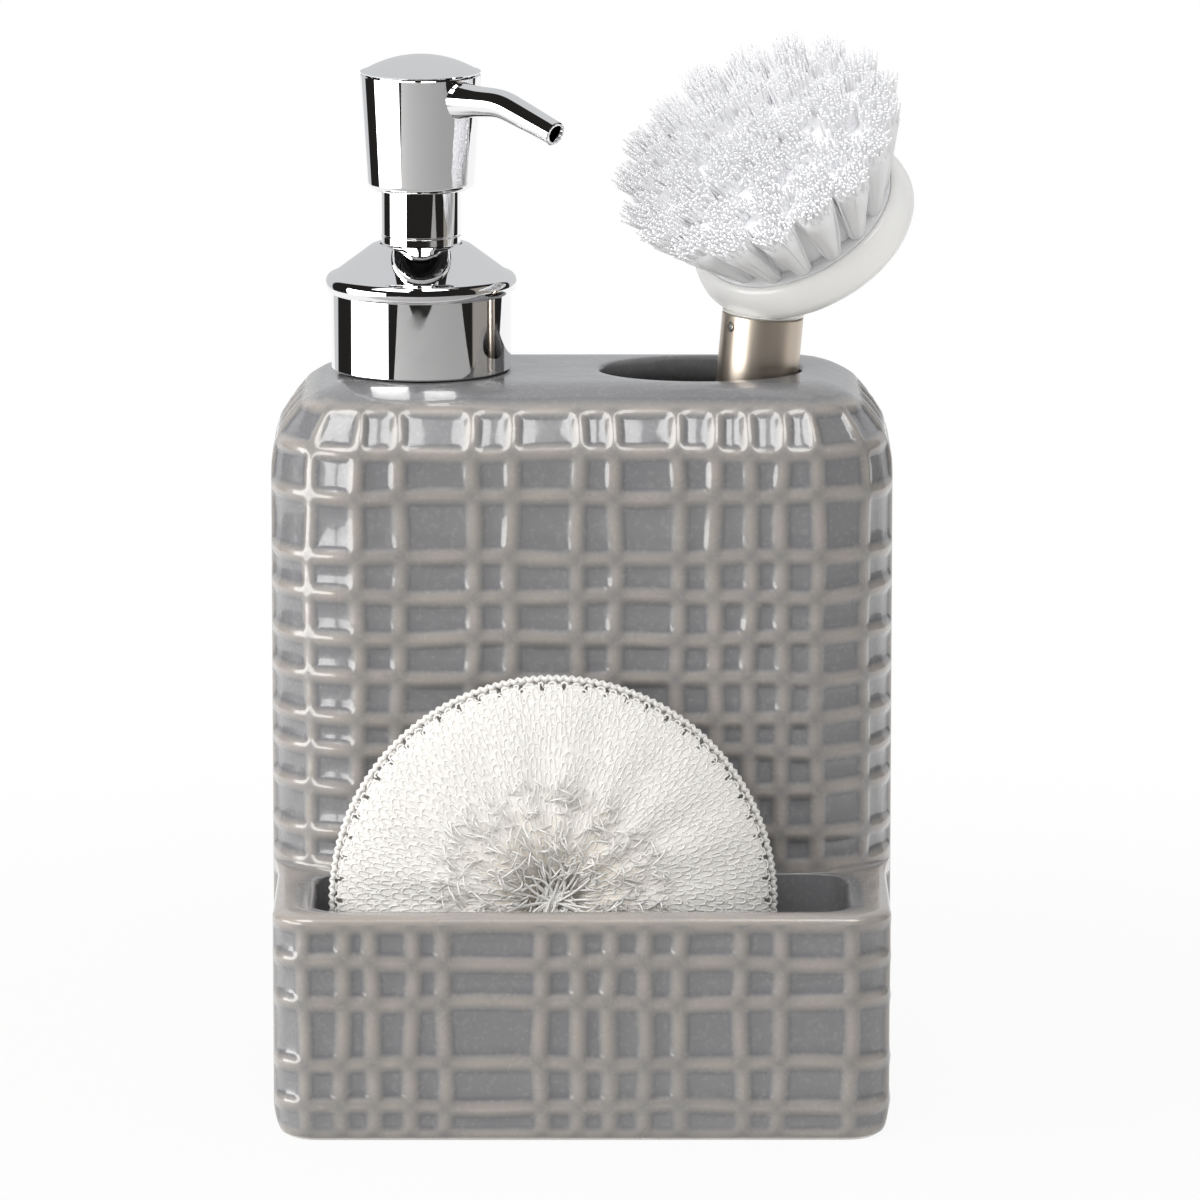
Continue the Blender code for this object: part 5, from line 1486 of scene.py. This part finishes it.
# %% Build the bristles
generator = random.Random(11)
bm = bmesh.new()
low = PLATE_CROWN - BACKING
edge = RECESS - 0.0001
turned(bm, ((0, low), (edge, low), (edge, PLATE_CROWN), (0, PLATE_CROWN)), 96, PLATE_AXIS)
high = PLATE_CROWN + CROWD_LENGTH
spread = CROWD_ROOT * (1 + FAN * CROWD_LENGTH / BRISTLE_LENGTH)
crowd = ((0, PLATE_CROWN), (CROWD_ROOT, PLATE_CROWN), (spread, high), (0, high))
turned(bm, crowd, 64, PLATE_AXIS)
tuft_foot = PLATE_CROWN - BACKING / 2
for tuft in tuft_places():
    cut = generator.uniform(-HEART_STAGGER, 0)
    heart = []
    thickness = []
    for step in range(HEART_STEPS + 1):
        share = step / HEART_STEPS * HEART_LENGTH
        place = tuft * (1 + FAN * share)
        place.z = tuft_foot + (BRISTLE_LENGTH + cut) * share
        heart.append(PLATE_AXIS @ place)
        thickness.append(TUFT_RADIUS * HEART_FILL * (1 + TUFT_FAN * share))
    place.z += HEART_CAP
    heart.append(PLATE_AXIS @ place)
    thickness.append(thickness[-1] * HEART_CAP_WIDTH)
    swept(bm, heart, thickness, HEART_SIDES)
    for k in range(FILAMENTS):
        side = round_axis(TUFT_RADIUS * math.sqrt((k + 0.5) / FILAMENTS), GOLDEN_TURN * k)
        root = tuft + side
        length = BRISTLE_LENGTH + cut + generator.uniform(-0.8, 1) * BRISTLE_JITTER
        tip = tuft * (1 + FAN) + side * (1 + TUFT_FAN) + scatter(generator, TIP_DRIFT)
        bow = scatter(generator, BOW)
        points = []
        for step in range(FILAMENT_STEPS + 1):
            share = step / FILAMENT_STEPS
            place = root.lerp(tip, share) + bow * math.sin(math.pi * share)
            place.z = tuft_foot + (length + BACKING / 2) * share
            points.append(PLATE_AXIS @ place)
        swept(bm, points, FILAMENT_RADIUS, FILAMENT_SIDES)
piece_from(bm, "tufts", "brush", "bristle", bristle, ["bristles"], math.radians(60))

# %% [markdown]
# ## The scrubber
# The scrubber is a tube of white knitted net, gathered in the middle and folded into a thick disc.
# A bump map of a knit would look printed on, so the yarn itself is made: rings of loops that lie
# over a soft inner body. The same count of loops goes round every ring, as in the real net, so they
# crowd together and stretch towards the gathered middle.

# %% Form of the pad
PAD_RADIUS = 0.0490
PAD_THICKNESS = 0.026
PAD_X = -0.0064
PAD_HEIGHT = 0.0488
PAD_LEAN = math.radians(9)
PAD_RIM = 0.0042
DIMPLE = 0.0075
DIMPLE_RADIUS = 0.0075
PLEATS = 17
PLEAT_DEPTH = 0.0003
SLOPE_STEP = 0.004


def pad_half(share, angle):
    """Half thickness of the pad from its gathered middle (0) to its rim (1)."""
    crown = math.sqrt(max(0, 1 - share ** 2))
    half = PAD_RIM / 2 + (PAD_THICKNESS - PAD_RIM) / 2 * crown
    drawn_in = DIMPLE * math.exp(-(share * PAD_RADIUS / DIMPLE_RADIUS) ** 2)
    return half - drawn_in + PLEAT_DEPTH * math.cos(PLEATS * angle) * math.sin(math.pi * share)


drop = PAD_HEIGHT - HOLLOW_FLOOR - RUNNING_GAP - PAD_RIM * math.sin(PAD_LEAN)
PAD_FLAT = drop / math.cos(PAD_LEAN)
back = 0
for k in range(64):
    share = k / 64
    upright = share * PAD_RADIUS * math.sin(PAD_LEAN)
    back = max(back, pad_half(share, 0) * math.cos(PAD_LEAN) + upright)
PAD_AXIS = Matrix.Translation((PAD_X, BLOCK_FRONT - back - RUNNING_GAP, PAD_HEIGHT))
PAD_AXIS = PAD_AXIS @ Matrix.Rotation(math.pi / 2 - PAD_LEAN, 4, "X")


def held_flat(reach, angle, flat):
    """A reach from the pad's middle, cut short where it would go below the flat lower edge."""
    down = -math.sin(angle)
    return flat / down if down > 0 and reach * down > flat else reach


def pad_point(share, angle, side, lift):
    """A place on the pad's face, lifted off it; the rim is flat where the pad stands."""
    reach = held_flat(PAD_RADIUS, angle, PAD_FLAT)
    low = pad_half(max(0, share - SLOPE_STEP), angle)
    high = pad_half(min(1, share + SLOPE_STEP), angle)
    slope = (high - low) / (2 * SLOPE_STEP * reach)
    size = math.hypot(slope, 1)
    radius = share * reach - slope / size * lift
    height = side * (pad_half(share, angle) + lift / size)
    return PAD_AXIS @ round_axis(radius, angle, height)


# %% Knit finish of the yarn
knit, board, shader = new_finish(
    "knit", ior=1.45, subsurface_weight=0.1, subsurface_radius=(1, 1, 1), subsurface_scale=0.001)
drift = board.noise(260, 2.0)
yarn_tone = board.mix(drift, tone(221, 219, 215), tone(228, 226, 223))
dress(board, shader, yarn_tone, 0.42 + drift * 0.2, board.noise(5200, 1.0), 0.00004)

# %% Finish of what shows between the yarn: white, with painted shade in the gathered middle, in its grooves and in the rim's holes
RIM_HOLE_SHADES = 62
HOLE_SHADE_SHARE = 0.962
HOLE_SHADE_HALF = 0.0007
HOLE_SHADE_TONE = tone(84, 80, 76)
CELL_SCALE = 620
# The beige tone is painted shade of the gathered middle.
CENTRE_SHADE_TONE = tone(216, 204, 188)
CENTRE_SHADE_REACH = 0.016
CENTRE_SHADE_SOFT = 0.012
CENTRE_SHADE_SHARE = 0.8
SHADE_EDGE_SHIFT = 0.02

knit_under, board, shader = new_finish(
    "knit_under", subsurface_weight=0.1, subsurface_radius=(1, 1, 1), subsurface_scale=0.001)
sockets = {"Vector": board.place(), "Scale": CELL_SCALE}
cells = board.node("ShaderNodeTexVoronoi", None, sockets, out="Distance")
shade_edge_noise = board.noise(150, 2.0)
sockets = {0: board.place(), 1: tuple(PAD_AXIS.translation)}
offset = board.node("ShaderNodeVectorMath", {"operation": "SUBTRACT"}, sockets)
flat = []
for column in (0, 1):
    sockets = {0: offset, 1: tuple(PAD_AXIS.to_3x3().col[column])}
    settings = {"operation": "DOT_PRODUCT"}
    flat.append(board.node("ShaderNodeVectorMath", settings, sockets, out="Value"))
reach = board.math("SQRT", flat[0] * flat[0] + flat[1] * flat[1])
# Painted shade: dark spots in a ring near the rim stand for the shade seen through the net's holes
# there.
beat = board.math("COSINE", board.math("ARCTAN2", flat[1], flat[0]) * RIM_HOLE_SHADES)
off_ring = board.math("ABSOLUTE", reach - PAD_RADIUS * HOLE_SHADE_SHARE)
hole = beat.above(0.80, 0.08) * (1 - off_ring.above(HOLE_SHADE_HALF, 0.0002))
# Painted shade: the body turns beige towards the gathered middle, for the shade among the crowded
# threads there; noise makes the edge of it uneven.
middle = 1 - (reach + (shade_edge_noise - 0.5) * SHADE_EDGE_SHIFT).above(CENTRE_SHADE_REACH, CENTRE_SHADE_SOFT)
# The cell pattern is a little darker along its grooves, where the bump is lowest: painted shade in
# the creases.
fabric_with_crease_shade = board.mix(cells.above(0.45, 0.25), tone(226, 224, 220), tone(220, 217, 212))
shaded_centre = board.mix(middle * CENTRE_SHADE_SHARE, fabric_with_crease_shade, CENTRE_SHADE_TONE)
dress(board, shader, board.mix(hole, shaded_centre, HOLE_SHADE_TONE), 0.8, 1 - cells, 0.0002)

# %% Inner body of the pad
CORE_SINK = 0.0001
CORE_SIDES = 192
CORE_ROWS = 24
CORE_REACH = 0.975

bm = bmesh.new()
rims = []
for side in (1, -1):
    rows = [[bm.verts.new(pad_point(0.002, 0, side, -CORE_SINK))] * CORE_SIDES]
    for k in range(1, CORE_ROWS + 1):
        share = CORE_REACH * math.sin(math.pi / 2 * k / CORE_ROWS)
        points = [pad_point(share, angle, side, -CORE_SINK) for angle in full_turn(CORE_SIDES)]
        rows.append([bm.verts.new(point) for point in points])
    bridge_all(bm, rows)
    rims.append(rows[-1])
bridge(bm, rims[0], rims[1])
pad = piece_from(bm, "scrubber_body", "scrubber", "mesh", knit_under, ["scrubber_pad"])

# %% Rings of loops
LOOP_COUNTS = ((0.72, 112), (0.50, 86), (0.30, 60), (0.0, 36))
YARN = 0.00027
YARN_SHARP_ANGLE = math.radians(80)
RING_WAVE = 0.010
LOOP_STEPS = 8
LOOP_REACH = 0.62
LOOP_NECK = 0.10
LOOP_SLACK = 0.25
LOOP_LEAN = 0.18
LOOP_RISE = 0.55
RING_SHARES = (
    0.12, 0.18, 0.24, 0.30, 0.36, 0.41, 0.46, 0.51, 0.56, 0.61, 0.655, 0.70, 0.745, 0.79, 0.83,
    0.87, 0.91, 0.945, 0.975)


def loop_ring(bm, number, share, room, side, sides, sink, generator):
    """One ring of loops; odd rings are turned by half a loop, so that they lock with even ones."""
    loops = next(count for least, count in LOOP_COUNTS if share > least)
    phase = 0.5 * (number % 2)
    slack = [generator.uniform(1 - LOOP_SLACK, 1 + LOOP_SLACK) for _ in range(loops)]
    lean = [generator.uniform(-LOOP_LEAN, LOOP_LEAN) for _ in range(loops)]
    calm = min(1, (1 - share) / 0.2)
    points = []
    for k in range(loops * LOOP_STEPS):
        loop = k // LOOP_STEPS
        at = k / LOOP_STEPS
        wave = 2 * math.pi * (at + phase)
        ripple = LOOP_NECK * math.sin(2 * wave) + lean[loop] * math.sin(math.pi * (at % 1))
        angle = 2 * math.pi * at / loops
        drift = math.sin(5 * angle + 9 * share) + math.sin(11 * angle + 23 * share)
        reach = LOOP_REACH * room * slack[loop] * math.cos(wave)
        place = max(0.02, min(0.999, share + reach + RING_WAVE * calm * drift))
        lift = YARN * LOOP_RISE * math.cos(wave) - sink
        points.append(pad_point(place, angle + 2 * math.pi * ripple / loops, side, lift))
    swept(bm, points, YARN, sides, True)


generator = random.Random(23)
bm = bmesh.new()
for side in (1, -1):
    for number, share in enumerate(RING_SHARES):
        before = RING_SHARES[max(0, number - 1)]
        after = RING_SHARES[min(len(RING_SHARES) - 1, number + 1)]
        room = (after - before) / 2
        loop_ring(bm, number, share, room, side, 5, YARN * 0.9, generator)
        if number > 0:
            loop_ring(bm, number + 1, (before + share) / 2, room, side, 4, YARN * 1.3, generator)
piece_from(bm, "scrubber_yarn", "scrubber", "mesh", knit, [], YARN_SHARP_ANGLE)

# %% Loose threads over the gathered middle
THREADS = 520
THREAD_REACH = 0.52
THREAD_RADIUS = 0.00020
THREAD_STEPS = 5

generator = random.Random(31)
bm = bmesh.new()
for number in range(THREADS):
    side = 1 if number % 3 else -1
    share = THREAD_REACH * math.sqrt(generator.uniform(0.004, 1))
    angle = generator.uniform(0, 2 * math.pi)
    stride = generator.uniform(0.05, 0.12)
    heading = generator.gauss(0, 0.9)
    lift = generator.uniform(0.0003, 0.0012) * (1.5 - share)
    points = []
    for k in range(THREAD_STEPS + 1):
        way = k / THREAD_STEPS
        radial = share + stride * way * math.cos(heading)
        swing = stride * way * math.sin(heading) / max(0.12, share)
        rise = lift * math.sin(math.pi * way) * 1.6 - THREAD_RADIUS
        points.append(pad_point(min(0.95, abs(radial)), angle + swing, side, rise))
    swept(bm, points, THREAD_RADIUS, 4)
piece_from(bm, "scrubber_threads", "scrubber", "mesh", knit, [], YARN_SHARP_ANGLE)

# %% Rim cord
SCALLOPS = 90
SCALLOP_STEPS = 8
SCALLOP_DEPTH = 0.0006
RIM_YARN = 0.00062
RIM_OUT = 0.0002
RIM_SWAY = 0.0011
RIM_LIFT = 0.0003

bm = bmesh.new()
for strand in (0, 1):
    points = []
    for angle in full_turn(SCALLOPS * SCALLOP_STEPS):
        wave = math.cos(SCALLOPS * angle + math.pi * strand)
        reach = PAD_RADIUS + RIM_OUT - SCALLOP_DEPTH * wave ** 2
        reach = held_flat(reach, angle, PAD_FLAT - RIM_LIFT)
        points.append(PAD_AXIS @ round_axis(reach, angle, RIM_SWAY * wave))
    swept(bm, points, RIM_YARN, 6, True)
piece_from(bm, "scrubber_rim", "scrubber", "mesh", knit, [], YARN_SHARP_ANGLE)

# %% Tie: a few windings of thread with loose ends
TIE_RADIUS = 0.0034
TIE_CORD = 0.0008
TIE_WINDINGS = 7
TIE_THREAD = 0.00030
TIE_ENDS = 34
TIE_STEPS = 60
END_STEPS = 6

seat = pad_half((TIE_RADIUS + TIE_CORD) / PAD_RADIUS, 0) + TIE_CORD + RUNNING_GAP
generator = random.Random(47)
bm = bmesh.new()
for winding in range(TIE_WINDINGS):
    phase = generator.uniform(0, 2 * math.pi)
    size = TIE_RADIUS * generator.uniform(0.55, 1.25)
    points = []
    for angle in full_turn(TIE_STEPS):
        uneven = 0.16 * math.sin(3 * angle + phase) + 0.10 * math.sin(5 * angle + 2 * phase)
        rise = seat + 0.0007 * math.sin(2 * angle + phase) + 0.0004 * math.sin(7 * angle)
        points.append(PAD_AXIS @ round_axis(size * (1 + uneven), angle, rise))
    swept(bm, points, TIE_THREAD, 6, True)
for end in range(TIE_ENDS):
    angle = 2 * math.pi * (end + generator.uniform(-0.3, 0.3)) / TIE_ENDS
    start = generator.uniform(-0.004, 0.003)
    stop = generator.uniform(0.007, 0.012)
    bow = generator.gauss(0, 0.0012)
    points = []
    for k in range(END_STEPS + 1):
        way = k / END_STEPS
        reach = start + (stop - start) * way
        aside = bow * math.sin(math.pi * way)
        rise = seat + 0.0004 + 0.0022 * way + generator.uniform(-0.0002, 0.0002)
        x = reach * math.cos(angle) - aside * math.sin(angle)
        y = reach * math.sin(angle) + aside * math.cos(angle)
        points.append(PAD_AXIS @ Vector((x, y, rise)))
    swept(bm, points, TIE_THREAD, 5)
piece_from(bm, "scrubber_knot", "scrubber", "mesh", knit, ["scrubber_tie"])

# %% [markdown]
# ## Floor, light and background
# A plain studio: a pale table that fades into a white background, a soft lamp on the left, one
# above the camera and a weak one on the right. The lamps light what is matt. What chrome and glaze
# mirror is painted on the world instead: a dark room with a grey sheet on the right and three very
# bright ones, because where a reflection falls matters as much as how bright it is.

# %% Table: it glows white towards its edges for the camera, and keeps the object's shadow
TABLE_LEFT = -0.58
TABLE_RIGHT = 0.86
TABLE_FRONT = -1.06
TABLE_BACK = 1.5
TABLE_TONE = tone(202, 201, 198)
MIRRORED_TONE = tone(158, 157, 156)
FLOOR_DROP = 0.00005
NEAR_GLOW = 0.93
FADE_FROM = 0.14
FADE_TO = 0.42
BACK_GLOW_FROM = -0.10

bm = bmesh.new()
corners = (
    (TABLE_LEFT, TABLE_FRONT), (TABLE_RIGHT, TABLE_FRONT), (TABLE_RIGHT, TABLE_BACK),
    (TABLE_LEFT, TABLE_BACK))
bm.faces.new([bm.verts.new((x, y, -FLOOR_DROP)) for x, y in corners])
floor = new_object(bm, "floor")
floor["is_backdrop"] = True

# %% Finish of the table
floor_finish, board, shader = new_finish("floor", roughness=0.9)
seen = board.node("ShaderNodeLightPath", out="Is Camera Ray")
mirrored = board.node("ShaderNodeLightPath", out="Is Glossy Ray")
through = board.node("ShaderNodeLightPath", out="Is Transmission Ray")
x, y = board.part(board.place(), "X"), board.part(board.place(), "Y")
away = board.math("SQRT", x * x + y * y)
fade = away.above((FADE_FROM + FADE_TO) / 2, (FADE_TO - FADE_FROM) / 2)
behind = y.above(BACK_GLOW_FROM, 0.05)
table_tone = board.mix(mirrored * (1 - behind), TABLE_TONE, MIRRORED_TONE)
board.feed(shader.inputs["Base Color"], table_tone)
shown = NEAR_GLOW + (1 - NEAR_GLOW) * fade
share = (seen + through) * shown + mirrored * behind * shown
glow = board.node("ShaderNodeEmission", None, {"Color": (1, 1, 1), "Strength": 1.0}, out="Emission")
part_glow = board.node("ShaderNodeMixShader", None, {0: share, 2: glow}, out="Shader")
tree = floor_finish.node_tree
tree.links.new(shader.outputs["BSDF"], part_glow.socket.node.inputs[1])
tree.links.new(part_glow.socket, tree.nodes["Material Output"].inputs["Surface"])
floor.data.materials.append(floor_finish)

# %% World: white to the camera, and to everything that reflects a room seen by its compass turn
ROOM_LIGHT = 0.60
ROOM_DARK = (0.018, 0.017, 0.016)
ROOM_GREY = (0.30, 0.28, 0.25)
ROOM_BRIGHT = (0.64, 0.65, 0.66)
GLARE = (7.0, 7.0, 6.9)
BRIGHT_FROM = 134
GREY_SHEET = (70, 101, -1.0, 0.6)
LEFT_SHEET = (-100, -43, -0.45, 0.20)
HIGH_SHEET = (-70, -16, 0.58, 0.92)
OVER_SHEET = (3, 44, 0.75, 0.985)
SHEET_SOFT = 0.015

world = bpy.data.worlds.new("studio")
world.use_nodes = True
bpy.context.scene.world = world
board = Board(world.node_tree)
seen = board.node("ShaderNodeLightPath", out="Is Camera Ray")
mirrored = board.node("ShaderNodeLightPath", out="Is Glossy Ray")
direction = board.node("ShaderNodeTexCoord", out="Generated")
upward = board.part(direction, "Z")
compass = board.math("ARCTAN2", board.part(direction, "X"), 0 - board.part(direction, "Y"))
behind = board.math("ABSOLUTE", compass).above(math.radians(BRIGHT_FROM), math.radians(2))
bounced = board.node("ShaderNodeLightPath", out="Diffuse Depth").above(0.5, 0.4)


def hung_sheet(low, high, foot, top):
    """1 in the directions of a sheet hung in the room, 0 elsewhere; its edges are a little soft."""
    soft = math.radians(1.5)
    across = compass.above(math.radians(low), soft) * (1 - compass.above(math.radians(high), soft))
    return across * upward.above(foot, SHEET_SOFT) * (1 - upward.above(top, SHEET_SOFT))


room = board.mix(behind, board.mix(hung_sheet(*GREY_SHEET), ROOM_DARK, ROOM_GREY), ROOM_BRIGHT)
for sheet in (LEFT_SHEET, HIGH_SHEET, OVER_SHEET):
    room = board.mix(hung_sheet(*sheet) * (1 - bounced), room, GLARE)
even = (ROOM_LIGHT, ROOM_LIGHT, ROOM_LIGHT)
lit = board.mix(mirrored, even, room)
background = world.node_tree.nodes["Background"]
board.feed(background.inputs["Color"], board.mix(seen, lit, (1, 1, 1)))
background.inputs["Strength"].default_value = 1.0


# %% Lights
def softbox(name, azimuth, elevation, distance, width, height, brightness):
    """A soft sheet of light; brightness is how bright it looks, where 1 is white."""
    lamp = bpy.data.lights.new(name, "AREA")
    lamp.shape = "RECTANGLE"
    lamp.size = width
    lamp.size_y = height
    lamp.energy = brightness * math.pi * width * height
    holder = bpy.data.objects.new(name, lamp)
    rise = math.radians(elevation)
    way = round_axis(math.cos(rise), math.radians(azimuth - 90), math.sin(rise))
    holder.location = way * distance + Vector((0, 0, 0.1))
    holder.rotation_euler = way.to_track_quat("Z", "Y").to_euler()
    holder.visible_camera = False
    holder.visible_glossy = False
    bpy.context.scene.collection.objects.link(holder)
    print(name, "light gives", round(lamp.energy, 1), "W")


softbox("left", -70, 24, 1.1, 0.9, 0.9, 3.8)
softbox("above", -12, 50, 1.7, 1.3, 0.9, 3.5)
softbox("right", 84, 10, 1.3, 0.8, 1.2, 0.8)

bpy.context.scene.view_settings.view_transform = "Standard"

# %% [markdown]
# ## Measure and finish
# Dressing must not change the size, so both boxes are printed side by side.

# %% Sizes
dressed_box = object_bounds()
for axis in range(3):
    before = cad_box[1][axis] - cad_box[0][axis]
    after = dressed_box[1][axis] - dressed_box[0][axis]
    print("side", axis, "solid", round(before, 4), "dressed", round(after, 4))
